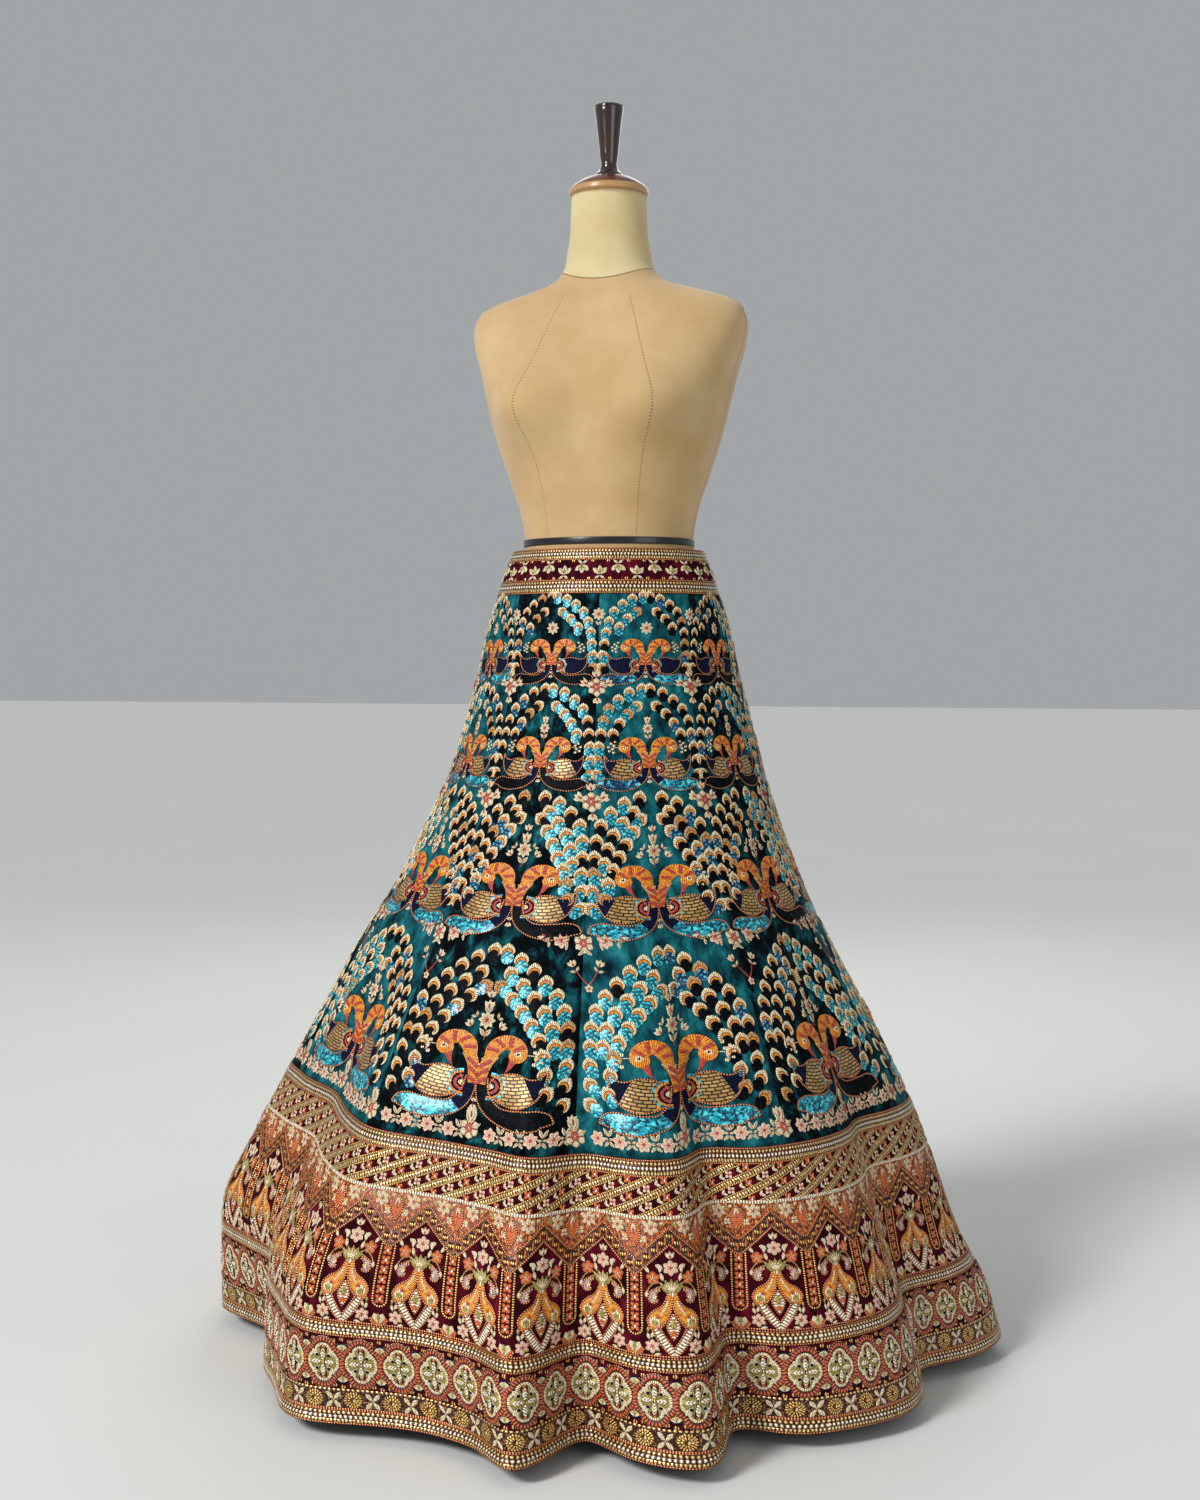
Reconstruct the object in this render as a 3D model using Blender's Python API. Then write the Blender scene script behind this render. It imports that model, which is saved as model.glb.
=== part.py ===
"""A ten-gore velvet lehenga skirt, worn by a limbless dress form on a pole stand.

The skirt is one surface, worked out from its height above the floor and its azimuth: a flared
profile, an oval waist, and a table of soft folds that fade out upwards. Every cloth piece is a
wall cut out of that surface. Metres, +Z up, the front of the form faces -Y, and the origin is
the middle of the base plate's underside.
"""

import math
from collections import namedtuple

import bmesh
import bpy
import numpy as np

GAP = 0.0003  # between pieces that meet
WALL = 0.002  # velvet with its backing and embroidery

# Skirt
GORES = 10
GORE_ANGLE = 360 / GORES
FIRST_SEAM = 10.3  # azimuth of the seam between the last gore and the first
FRONT_AZIMUTH = 13.0  # the gores are widest here at the waist
SPREAD_REACH = 35.0  # degrees to either side over which they are widened
BAND_TOP = 1.038
BAND_BOTTOM = 0.978
BORDER_TOP = 0.325
HEM = 0.020
GORE_COLUMNS = 12
GORE_ROWS = 8
BORDER_ROWS = 5
BAND_COLUMNS = 72
BAND_ROWS = 2
CLOSING_AZIMUTH = -102.0  # the waistband closes at the left side, towards the back
CLOSING_ANGLE = 0.7
TAB_REACH = 12.0  # degrees that the underlap runs behind the band on either side
TAB_WALL = 0.0015

Level = namedtuple("Level", "height half_width half_depth sway lift spread")
# sway moves the cloth out towards the left side and lift raises it there, where it hangs
# over a fuller fold; spread is how many degrees the front gores gain to either side
LEVELS = (
    Level(1.060, 0.119, 0.098, 0.000, 0.000, 20.0),
    Level(1.038, 0.129, 0.107, 0.001, 0.000, 20.0),
    Level(0.978, 0.151, 0.129, 0.001, 0.000, 20.0),
    Level(0.926, 0.166, 0.146, 0.001, 0.000, 13.0),
    Level(0.885, 0.174, 0.158, 0.001, 0.000, 9.0),
    Level(0.805, 0.194, 0.182, 0.001, 0.000, 6.5),
    Level(0.723, 0.218, 0.211, 0.004, 0.000, 5.0),
    Level(0.682, 0.234, 0.230, 0.007, 0.001, 4.5),
    Level(0.601, 0.268, 0.267, 0.011, 0.004, 4.0),
    Level(0.520, 0.310, 0.310, 0.014, 0.010, 3.5),
    Level(0.400, 0.367, 0.367, 0.010, 0.024, 3.0),
    Level(0.300, 0.410, 0.410, 0.012, 0.033, 2.5),
    Level(0.236, 0.435, 0.435, 0.018, 0.030, 2.0),
    Level(0.155, 0.466, 0.466, 0.026, 0.018, 1.0),
    Level(0.095, 0.479, 0.479, 0.012, 0.008, 0.5),
    Level(0.054, 0.484, 0.484, 0.006, 0.003, 0.0),
    Level(0.000, 0.488, 0.488, 0.000, 0.000, 0.0),
)
SWAY_AZIMUTH = -74.0

Fold = namedtuple("Fold", "at_hem at_top top depth left right")
# azimuths at the hem and where the fold dies out, the height where it dies out, how far it
# stands out at the hem (a trough is negative), and its half width to either side in degrees
FOLDS = (
    Fold(-74, -66, 0.62, 0.034, 9, 6),
    Fold(-58, -30, 0.78, -0.044, 9, 9),
    Fold(-28, -22, 0.66, 0.040, 8, 8),
    Fold(-10, -12, 0.50, -0.012, 8, 6),
    Fold(5.2, 2, 0.52, 0.056, 5, 5),
    Fold(12, 12, 0.62, -0.046, 5, 5),
    Fold(27.5, 24, 0.60, 0.050, 9, 5),
    Fold(34.5, 30.5, 0.80, -0.048, 4, 6),
    Fold(58, 50, 0.55, 0.022, 12, 8),
    Fold(74, 67, 0.74, -0.036, 6, 7),
    Fold(93, 90, 0.58, 0.034, 10, 7),
    Fold(108, 104, 0.66, -0.034, 6, 6),
    Fold(122, 124, 0.60, 0.038, 8, 8),
    Fold(139, 136, 0.72, -0.040, 7, 6),
    Fold(152, 153, 0.52, 0.046, 6, 7),
    Fold(168, 164, 0.64, -0.030, 8, 6),
    Fold(183, 185, 0.58, 0.034, 9, 6),
    Fold(197, 195, 0.76, -0.044, 6, 6),
    Fold(210, 212, 0.55, 0.042, 7, 8),
    Fold(228, 224, 0.60, -0.026, 8, 7),
    Fold(245, 246, 0.66, 0.036, 9, 7),
    Fold(260, 258, 0.70, -0.040, 6, 7),
    Fold(273, 276, 0.56, 0.030, 7, 6),
)
FOLD_FADE = 1.35

# Dress form
Section = namedtuple("Section", "height half_width front back power")
# half width, front and back depth of the body at a height, and the squareness of its outline
BODY = (
    Section(0.735, 0.150, 0.100, 0.128, 2.2),
    Section(0.745, 0.160, 0.110, 0.138, 2.2),
    Section(0.790, 0.168, 0.117, 0.146, 2.2),
    Section(0.850, 0.168, 0.119, 0.141, 2.2),
    Section(0.910, 0.156, 0.115, 0.128, 2.15),
    Section(0.975, 0.137, 0.107, 0.110, 2.1),
    Section(1.020, 0.121, 0.101, 0.099, 2.05),
    Section(1.044, 0.115, 0.097, 0.094, 2.05),
    Section(1.053, 0.115, 0.097, 0.094, 2.05),
    Section(1.090, 0.121, 0.099, 0.098, 2.1),
    Section(1.140, 0.137, 0.106, 0.108, 2.2),
    Section(1.190, 0.152, 0.112, 0.117, 2.35),
    Section(1.235, 0.163, 0.112, 0.122, 2.5),
    Section(1.280, 0.174, 0.105, 0.122, 2.6),
    Section(1.320, 0.186, 0.090, 0.115, 2.6),
    Section(1.350, 0.187, 0.076, 0.104, 2.4),
    Section(1.371, 0.172, 0.066, 0.092, 2.1),
    Section(1.386, 0.126, 0.060, 0.080, 1.9),
    Section(1.397, 0.086, 0.056, 0.070, 1.9),
    Section(1.412, 0.066, 0.053, 0.062, 2.0),
    Section(1.440, 0.057, 0.051, 0.055, 2.0),
    Section(1.518, 0.0505, 0.048, 0.050, 2.0),
)
BODY_COLUMNS = 40
BUST_HEIGHT = 1.225
BUST_SPREAD = 0.046
BUST_AZIMUTH = 36.0
BUST_WIDTH = 22.0
BUST_DEPTH = 0.030
BODY_TOP = BODY[-1].height
BODY_BOTTOM = BODY[0].height
TAPE_WALL = 0.0012
TAPE_LEVELS = (1.044, 1.053)  # the body is straight here, at its waist

Ring = namedtuple("Ring", "radius height")
NECK_CAP = (
    Ring(0.0490, BODY_TOP + GAP),
    Ring(0.0525, BODY_TOP + 0.0015),
    Ring(0.0535, BODY_TOP + 0.0050),
    Ring(0.0525, BODY_TOP + 0.0085),
    Ring(0.0480, BODY_TOP + 0.0135),
    Ring(0.0400, BODY_TOP + 0.0190),
    Ring(0.0310, BODY_TOP + 0.0235),
    Ring(0.0205, BODY_TOP + 0.0265),
)
CAP_TOP = NECK_CAP[-1].height
FINIAL = (
    Ring(0.0200, CAP_TOP + GAP),
    Ring(0.0185, CAP_TOP + 0.0030),
    Ring(0.0140, CAP_TOP + 0.0075),
    Ring(0.0120, CAP_TOP + 0.0110),
    Ring(0.0125, CAP_TOP + 0.0300),
    Ring(0.0150, CAP_TOP + 0.0550),
    Ring(0.0175, CAP_TOP + 0.0780),
    Ring(0.0190, CAP_TOP + 0.0900),
    Ring(0.0190, CAP_TOP + 0.0940),
    Ring(0.0170, CAP_TOP + 0.0965),
    Ring(0.0100, CAP_TOP + 0.0975),
)
TURNED_COLUMNS = 32

# Stand
POLE_RADIUS = 0.016
SOCKET_RADIUS = 0.030
SOCKET_HEIGHT = 0.040
PLATE_RADIUS = 0.165
PLATE = (
    Ring(0.1600, 0.0000),
    Ring(PLATE_RADIUS, 0.0040),
    Ring(PLATE_RADIUS, 0.0070),
    Ring(0.1550, 0.0100),
    Ring(0.0700, 0.0120),
)
PLATE_TOP = PLATE[-1].height
SOCKET = (
    Ring(SOCKET_RADIUS, PLATE_TOP + GAP),
    Ring(SOCKET_RADIUS, PLATE_TOP + 0.0080),
    Ring(0.0220, PLATE_TOP + 0.0140),
    Ring(0.0200, PLATE_TOP + SOCKET_HEIGHT),
)
POLE = (
    Ring(POLE_RADIUS, PLATE_TOP + SOCKET_HEIGHT + GAP),
    Ring(POLE_RADIUS, BODY_BOTTOM - GAP),
)

Finish = namedtuple("Finish", "colour roughness metallic")
FINISHES = {
    "teal_velvet": Finish((0.004, 0.075, 0.085), 0.85, 0.0),
    "maroon_velvet": Finish((0.105, 0.006, 0.016), 0.85, 0.0),
    "form_cloth": Finish((0.68, 0.58, 0.40), 0.80, 0.0),
    "cap_wood": Finish((0.14, 0.045, 0.022), 0.35, 0.0),
    "finial_wood": Finish((0.045, 0.016, 0.012), 0.20, 0.0),
    "black_tape": Finish((0.012, 0.012, 0.014), 0.30, 0.0),
    "stand_steel": Finish((0.060, 0.060, 0.065), 0.45, 0.8),
}


def clear_scene():
    for scene_object in list(bpy.data.objects):
        bpy.data.objects.remove(scene_object, do_unlink=True)


def between(rows, column, height):
    """Reads a table's column at any height, on a smooth cubic through its rows."""
    rows = sorted(rows, key=lambda row: row.height)
    places = np.array([row.height for row in rows])
    values = np.array([getattr(row, column) for row in rows])
    slopes = np.gradient(values, places)
    height = np.clip(height, places[0], places[-1])
    below = np.clip(np.searchsorted(places, height) - 1, 0, len(rows) - 2)
    step = places[below + 1] - places[below]
    t = (height - places[below]) / step
    rise = t * t * (3 - 2 * t)
    return (
        values[below] * (1 - rise)
        + values[below + 1] * rise
        + slopes[below] * step * t * (1 - t) ** 2
        + slopes[below + 1] * step * t * t * (t - 1)
    )


def turn_to(azimuth, target):
    """The signed angle from the target to the azimuth, from -180 to 180 degrees."""
    return (azimuth - target + 180) % 360 - 180


def fold_relief(azimuth, height):
    """How far the folds stand out: a bell across each fold, fading from the hem to its top."""
    relief = np.zeros(np.broadcast(azimuth, height).shape)
    for fold in FOLDS:
        fall = np.clip((fold.top - height) / (fold.top - HEM), 0, 1)
        centre = fold.at_top + (fold.at_hem - fold.at_top) * fall
        off = turn_to(azimuth, centre)
        bell = np.exp(-((off / np.where(off < 0, fold.left, fold.right)) ** 2))
        relief += fold.depth * bell * fall**FOLD_FADE
    return relief


def skirt_point(azimuth, height):
    """A point of the skirt: an oval of the level's sizes, pushed out by folds and by sway."""
    angle = np.radians(azimuth)
    lean = np.cos(np.radians(azimuth - SWAY_AZIMUTH))
    out = fold_relief(azimuth, height) + between(LEVELS, "sway", height) * lean
    x = (between(LEVELS, "half_width", height) + out) * np.sin(angle)
    y = -(between(LEVELS, "half_depth", height) + out) * np.cos(angle)
    z = height + between(LEVELS, "lift", height) * np.maximum(lean, 0) ** 2
    return np.stack(np.broadcast_arrays(x, y, z), axis=-1)


def skirt_normal(azimuth, height):
    """The outward direction, square to the surface's two tangents."""
    turn = 0.05
    rise = 0.0005
    along = skirt_point(azimuth + turn, height) - skirt_point(azimuth - turn, height)
    up = skirt_point(azimuth, height + rise) - skirt_point(azimuth, height - rise)
    normal = np.cross(along, up)
    return normal / np.linalg.norm(normal, axis=-1, keepdims=True)


def gore_azimuth(gore, height):
    """The azimuth of a place across the gores; whole numbers are seams."""
    even = FIRST_SEAM + GORE_ANGLE * gore
    lead = turn_to(even, FRONT_AZIMUTH)
    shift = np.tanh(lead / SPREAD_REACH) - lead / 180
    return even + between(LEVELS, "spread", height) * shift


def finish_named(name):
    material = bpy.data.materials.get(name)
    if material:
        return material
    finish = FINISHES[name]
    material = bpy.data.materials.new(name)
    material.use_nodes = True
    shader = material.node_tree.nodes["Principled BSDF"]
    shader.inputs["Base Color"].default_value = (*finish.colour, 1)
    shader.inputs["Roughness"].default_value = finish.roughness
    shader.inputs["Metallic"].default_value = finish.metallic
    return material


def add_piece(name, points, faces, finish):
    """Adds a closed mesh as one named object, with its faces pointing out."""
    mesh = bpy.data.meshes.new(name)
    mesh.from_pydata(points, [], faces)
    work = bmesh.new()
    work.from_mesh(mesh)
    bmesh.ops.recalc_face_normals(work, faces=work.faces)
    bmesh.ops.triangulate(work, faces=work.faces)
    work.to_mesh(mesh)
    work.free()
    mesh.shade_smooth()
    mesh.set_sharp_from_angle(angle=math.radians(35))
    mesh.materials.append(finish_named(finish))
    piece = bpy.data.objects.new(name, mesh)
    bpy.context.scene.collection.objects.link(piece)
    return piece


def grid_faces(rows, columns, first):
    """The faces of a grid of points, numbered row by row from first."""
    return [
        (
            first + row * (columns + 1) + column,
            first + row * (columns + 1) + column + 1,
            first + (row + 1) * (columns + 1) + column + 1,
            first + (row + 1) * (columns + 1) + column,
        )
        for row in range(rows)
        for column in range(columns)
    ]


def rim_of(rows, columns):
    """The point numbers round a grid's edge, in order."""
    width = columns + 1
    return (
        [column for column in range(columns)]
        + [row * width + columns for row in range(rows)]
        + [rows * width + column for column in range(columns, 0, -1)]
        + [row * width for row in range(rows, 0, -1)]
    )


def add_wall(name, azimuth, height, outside, thickness, finish):
    """Adds a wall: the grid of skirt points moved out by outside, and its copy under it."""
    rows, columns = azimuth.shape[0] - 1, azimuth.shape[1] - 1
    points = skirt_point(azimuth, height)
    normal = skirt_normal(azimuth, height)
    outer = (points + normal * outside).reshape(-1, 3)
    inner = (points + normal * (outside - thickness)).reshape(-1, 3)
    count = len(outer)
    rim = rim_of(rows, columns)
    sides = [
        (here, after, after + count, here + count)
        for here, after in zip(rim, rim[1:] + rim[:1])
    ]
    faces = grid_faces(rows, columns, 0)
    faces += [face[::-1] for face in grid_faces(rows, columns, count)]
    return add_piece(name, np.concatenate((outer, inner)).tolist(), faces + sides, finish)


def add_gore_piece(name, gore, top, bottom, rows, finish):
    """Adds one gore's wall between two heights, with half a gap left at each seam."""
    height = np.linspace(top, bottom, rows + 1)[:, None]
    radius = between(LEVELS, "half_width", height)
    margin = np.degrees(GAP / 2 / radius) / GORE_ANGLE
    across = np.linspace(0, 1, GORE_COLUMNS + 1)[None, :]
    place = gore + margin + across * (1 - 2 * margin)
    azimuth = gore_azimuth(place, height)
    heights = np.broadcast_to(height, azimuth.shape)
    return add_wall(name, azimuth, heights, 0.0, WALL, finish)


def add_skirt():
    for gore in range(GORES):
        add_gore_piece(
            f"kali_{gore + 1:02d}", gore, BAND_BOTTOM - GAP, BORDER_TOP + GAP,
            GORE_ROWS, "teal_velvet",
        )
        add_gore_piece(
            f"border_{gore + 1:02d}", gore, BORDER_TOP, HEM, BORDER_ROWS, "maroon_velvet"
        )


def add_waistband():
    """Adds the band, open at its closing, and the underlap that lies behind the opening."""
    start = CLOSING_AZIMUTH + CLOSING_ANGLE / 2
    around = np.linspace(start, start + 360 - CLOSING_ANGLE, BAND_COLUMNS + 1)[None, :]
    height = np.linspace(BAND_TOP, BAND_BOTTOM, BAND_ROWS + 1)[:, None]
    azimuth, heights = np.broadcast_arrays(around, height)
    add_wall("waistband", azimuth, heights, 0.0, WALL, "maroon_velvet")
    reach = np.linspace(-TAB_REACH, TAB_REACH, 7)[None, :]
    azimuth, heights = np.broadcast_arrays(CLOSING_AZIMUTH + reach, height)
    add_wall("closing_tab", azimuth, heights, -WALL - GAP, TAB_WALL, "maroon_velvet")


def body_radius(azimuth, height):
    """The body's reach at an azimuth: a squared oval, deeper behind, with a soft bust."""
    angle = np.radians(azimuth)
    depth = np.where(
        np.cos(angle) > 0, between(BODY, "front", height), between(BODY, "back", height)
    )
    power = between(BODY, "power", height)
    side = np.abs(np.sin(angle) / between(BODY, "half_width", height)) ** power
    ahead = np.abs(np.cos(angle) / depth) ** power
    reach = (side + ahead) ** (-1 / power)
    level = np.exp(-(((height - BUST_HEIGHT) / BUST_SPREAD) ** 2))
    swell = sum(
        np.exp(-((turn_to(azimuth, centre) / BUST_WIDTH) ** 2))
        for centre in (-BUST_AZIMUTH, BUST_AZIMUTH)
    )
    return reach + BUST_DEPTH * level * swell


def round_points(azimuth, height, radius):
    angle = np.radians(azimuth)
    parts = np.broadcast_arrays(radius * np.sin(angle), -radius * np.cos(angle), height)
    return np.stack(parts, axis=-1)


def closed_faces(rows, columns):
    """The faces of a tube of closed rings, and a flat cap at either end."""
    faces = [
        (
            row * columns + column,
            row * columns + (column + 1) % columns,
            (row + 1) * columns + (column + 1) % columns,
            (row + 1) * columns + column,
        )
        for row in range(rows)
        for column in range(columns)
    ]
    faces.append(tuple(range(columns)))
    faces.append(tuple(range(rows * columns, (rows + 1) * columns)))
    return faces


def add_body():
    """Adds the form's body and neck, as one closed skin through its sections."""
    azimuth = np.arange(BODY_COLUMNS)[None, :] * 360 / BODY_COLUMNS
    height = np.array([section.height for section in BODY])[:, None]
    points = round_points(azimuth, height, body_radius(azimuth, height)).reshape(-1, 3)
    faces = closed_faces(len(BODY) - 1, BODY_COLUMNS)
    add_piece("form_body", points.tolist(), faces, "form_cloth")


def add_tape():
    """Adds the tape round the form's waist, as a closed ring of four-sided section."""
    azimuth = np.arange(BODY_COLUMNS) * 360 / BODY_COLUMNS
    low, high = TAPE_LEVELS
    reach = body_radius(azimuth, np.full(BODY_COLUMNS, low)) + GAP
    corners = ((reach, low), (reach + TAPE_WALL, low), (reach + TAPE_WALL, high), (reach, high))
    points = np.concatenate([round_points(azimuth, height, radius) for radius, height in corners])
    faces = []
    for side in range(4):
        here, beyond = side * BODY_COLUMNS, (side + 1) % 4 * BODY_COLUMNS
        for column in range(BODY_COLUMNS):
            after = (column + 1) % BODY_COLUMNS
            faces.append((here + column, here + after, beyond + after, beyond + column))
    add_piece("waist_tape", points.tolist(), faces, "black_tape")


def add_turned(name, rings, finish):
    """Adds a round piece turned from its rings, listed from the bottom up."""
    azimuth = np.arange(TURNED_COLUMNS)[None, :] * 360 / TURNED_COLUMNS
    radius = np.array([ring.radius for ring in rings])[:, None]
    height = np.array([ring.height for ring in rings])[:, None]
    points = round_points(azimuth, height, radius).reshape(-1, 3)
    add_piece(name, points.tolist(), closed_faces(len(rings) - 1, TURNED_COLUMNS), finish)


clear_scene()
add_skirt()
add_waistband()
add_body()
add_tape()
add_turned("neck_cap", NECK_CAP, "cap_wood")
add_turned("finial", FINIAL, "finial_wood")
add_turned("pole", POLE, "stand_steel")
add_turned("pole_socket", SOCKET, "stand_steel")
add_turned("base_plate", PLATE, "stand_steel")
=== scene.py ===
from collections import namedtuple

import bpy
import numpy as np
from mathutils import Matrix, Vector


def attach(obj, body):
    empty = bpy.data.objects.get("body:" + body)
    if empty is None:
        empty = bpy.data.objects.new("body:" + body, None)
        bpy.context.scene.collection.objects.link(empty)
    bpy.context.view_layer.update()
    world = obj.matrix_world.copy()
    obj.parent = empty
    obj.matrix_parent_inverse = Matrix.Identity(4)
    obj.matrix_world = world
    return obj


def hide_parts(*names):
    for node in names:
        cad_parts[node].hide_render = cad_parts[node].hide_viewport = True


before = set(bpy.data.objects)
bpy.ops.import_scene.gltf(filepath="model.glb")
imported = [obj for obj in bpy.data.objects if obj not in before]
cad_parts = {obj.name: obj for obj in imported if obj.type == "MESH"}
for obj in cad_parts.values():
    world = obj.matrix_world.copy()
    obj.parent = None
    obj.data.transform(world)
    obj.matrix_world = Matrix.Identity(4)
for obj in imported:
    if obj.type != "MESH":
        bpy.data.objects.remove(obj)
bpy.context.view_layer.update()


# ---- Studio -------------------------------------------------------------------------------
# The form stands on a plain pale floor under three soft lights and a broad skylight. The
# camera stands a little to the form's left, at the height of its hips, and looks level, with
# its lens shifted down a little to take in the hem.


def colour_of(code):
    """Turns a hex sRGB colour to linear: c/12.92 below 0.04045, else ((c+0.055)/1.055)^2.4."""
    parts = np.array([int(code[i : i + 2], 16) / 255 for i in (1, 3, 5)])
    linear = np.where(parts <= 0.04045, parts / 12.92, ((parts + 0.055) / 1.055) ** 2.4)
    return (*linear.tolist(), 1.0)


def add_node(tree, kind, inputs=None, stops=(), **settings):
    """Adds a node: settings are its own, stops its ramp's, and each input a value or an output."""
    made = tree.nodes.new("ShaderNode" + kind)
    for name, value in settings.items():
        setattr(made, name, value)
    for number, (place, code) in enumerate(stops):
        ramp = made.color_ramp.elements
        stop = ramp[number] if number < 2 else ramp.new(place)
        stop.position = place
        stop.color = colour_of(code)
    for socket, value in (inputs or {}).items():
        if isinstance(value, bpy.types.NodeSocket):
            tree.links.new(value, made.inputs[socket])
        else:
            made.inputs[socket].default_value = value
    return made


def new_finish(name, **constants):
    """Starts a material: its node tree and its shader, with the constants on the shader's sockets."""
    material = bpy.data.materials.new(name)
    material.use_nodes = True
    shader = material.node_tree.nodes["Principled BSDF"]
    for socket, value in constants.items():
        shader.inputs[socket.replace("_", " ")].default_value = value
    return material, material.node_tree, shader


def textured(name, kind, inputs, tones, relief=None, **constants):
    """A material whose one texture, in Object coordinates, gives its tones and its relief."""
    material, tree, shader = new_finish(name, **constants)
    place = add_node(tree, "TexCoord").outputs["Object"]
    texture = add_node(tree, kind, {"Vector": place, **inputs})
    if kind == "TexWave":
        texture.bands_direction = "Z"
    tint = add_node(tree, "ValToRGB", {"Fac": texture.outputs["Fac"]}, stops=tones)
    tree.links.new(tint.outputs["Color"], shader.inputs["Base Color"])
    if relief:
        strength, distance = relief
        bump = add_node(
            tree, "Bump", {"Height": texture.outputs["Fac"], "Strength": strength, "Distance": distance}
        )
        tree.links.new(bump.outputs["Normal"], shader.inputs["Normal"])
    return material


def add_mesh(name, points, quads, slots=(), chosen=None):
    """Puts arrays into a new mesh object at the origin: points (n, 3) and quads (m, 4)."""
    mesh = bpy.data.meshes.new(name)
    mesh.vertices.add(len(points))
    mesh.vertices.foreach_set("co", np.ascontiguousarray(points, dtype=np.float32).ravel())
    mesh.loops.add(quads.size)
    mesh.loops.foreach_set("vertex_index", np.ascontiguousarray(quads, dtype=np.int32).ravel())
    mesh.polygons.add(len(quads))
    mesh.polygons.foreach_set("loop_start", np.arange(0, quads.size, 4, dtype=np.int32))
    mesh.update(calc_edges=True)
    mesh.validate()
    for material in slots:
        mesh.materials.append(material)
    if chosen is not None:
        mesh.polygons.foreach_set("material_index", np.ascontiguousarray(chosen, dtype=np.int32))
    mesh.polygons.foreach_set("use_smooth", np.full(len(mesh.polygons), True))
    piece = bpy.data.objects.new(name, mesh)
    bpy.context.scene.collection.objects.link(piece)
    return piece


def add_uv(piece, name, places):
    """Gives a mesh a UV map: places (n, 2) holds one place for each vertex."""
    mesh = piece.data
    corners = np.empty(len(mesh.loops), dtype=np.int32)
    mesh.loops.foreach_get("vertex_index", corners)
    layer = mesh.uv_layers.new(name=name, do_init=False)
    layer.data.foreach_set("uv", np.ascontiguousarray(places[corners], dtype=np.float32).ravel())


def grid_quads(rows, columns, closed=False):
    """The quads of a grid of rows by columns points; closed joins its last column to its first."""
    ahead = np.arange(columns if closed else columns - 1)
    here = np.arange(rows - 1)[:, None] * columns
    after = (ahead + 1) % columns
    quads = (here + ahead, here + after, here + columns + after, here + columns + ahead)
    return np.stack(quads, axis=-1).reshape(-1, 4)


# Seamless background paper: matt and pale, with a faint mottle that keeps it from looking flat
floor_paper = textured(
    "seamless_paper_floor", "TexNoise", {"Scale": 0.8, "Detail": 2.0},
    ((0.3, "#DBDCD9"), (0.7, "#DEDFDC")), Roughness=0.75,
)
FLOOR_REACH = 30.0
floor_corners = np.array(((-1, -1, 0), (1, -1, 0), (1, 1, 0), (-1, 1, 0))) * FLOOR_REACH
floor = add_mesh("floor", floor_corners, np.array(((0, 1, 2, 3),)), (floor_paper,))

world = bpy.data.worlds.new("soft_studio")
bpy.context.scene.world = world
world.use_nodes = True
world.node_tree.nodes["Background"].inputs["Color"].default_value = colour_of("#E6EAEC")
world.node_tree.nodes["Background"].inputs["Strength"].default_value = 0.46
bpy.context.scene.view_settings.view_transform = "Standard"


def aim(thing, place, target):
    """Places a camera or a light, and turns its -Z axis to the target with +Z kept up."""
    thing.location = place
    direction = Vector(target) - Vector(place)
    thing.rotation_euler = direction.to_track_quat("-Z", "Y").to_euler()


Lamp = namedtuple("Lamp", "name place target size power")
LAMPS = (
    Lamp("key", (-1.7, -3.2, 2.5), (0.0, 0.0, 0.6), 1.0, 52.0),
    Lamp("fill", (3.0, -2.4, 1.5), (0.0, 0.0, 0.6), 2.0, 16.0),
    Lamp("back", (-0.6, 2.8, 2.6), (0.0, 0.0, 0.8), 2.0, 24.0),
)
for lamp in LAMPS:
    light = bpy.data.lights.new(lamp.name, "AREA")
    light.energy = lamp.power
    light.size = lamp.size
    light_object = bpy.data.objects.new(lamp.name, light)
    bpy.context.scene.collection.objects.link(light_object)
    aim(light_object, lamp.place, lamp.target)

SKY_ENERGY, SKY_WIDTH = 1.6, 14.0  # the skylight's breadth in degrees keeps its shadows soft
sky = bpy.data.lights.new("skylight", "SUN")
sky.energy = SKY_ENERGY
sky.angle = np.radians(SKY_WIDTH)
sky_object = bpy.data.objects.new("skylight", sky)
bpy.context.scene.collection.objects.link(sky_object)
aim(sky_object, (-1.6, -2.6, 3.0), (0.0, 0.0, 0.4))

CAMERA_TURN = 16.0  # degrees from straight ahead, towards the form's left
CAMERA_DISTANCE = 2.6
CAMERA_HEIGHT = 0.90
SENSOR_HEIGHT, LENS = 36.0, 46.176  # mm
LENS_SHIFT = (-0.006, -0.064)  # of the sensor's height
camera = bpy.data.cameras.new("camera")
camera.sensor_fit = "VERTICAL"
camera.sensor_height = SENSOR_HEIGHT
camera.lens = LENS
camera.shift_x, camera.shift_y = LENS_SHIFT
camera_object = bpy.data.objects.new("camera", camera)
bpy.context.scene.collection.objects.link(camera_object)
turn = np.radians(CAMERA_TURN)
eye = (CAMERA_DISTANCE * np.sin(turn), -CAMERA_DISTANCE * np.cos(turn), CAMERA_HEIGHT)
aim(camera_object, eye, (0.0, 0.0, CAMERA_HEIGHT))
bpy.context.scene.camera = camera_object


# ---- Stand --------------------------------------------------------------------------------
# A round steel base plate, a pole and the socket that clamps it, all in black powder coat.
# The skirt hides them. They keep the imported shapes.

# Powder coat: sprayed on dry and baked, with a fine orange peel and no gloss
coat = textured(
    "powder_coated_steel", "TexNoise", {"Scale": 900.0, "Detail": 2.0},
    ((0.3, "#191A1B"), (0.7, "#242526")), (0.3, 0.0003), Roughness=0.5,
)
for node_name in ("base_plate", "pole_socket", "pole"):
    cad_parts[node_name].data.materials.clear()
    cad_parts[node_name].data.materials.append(coat)


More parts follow.
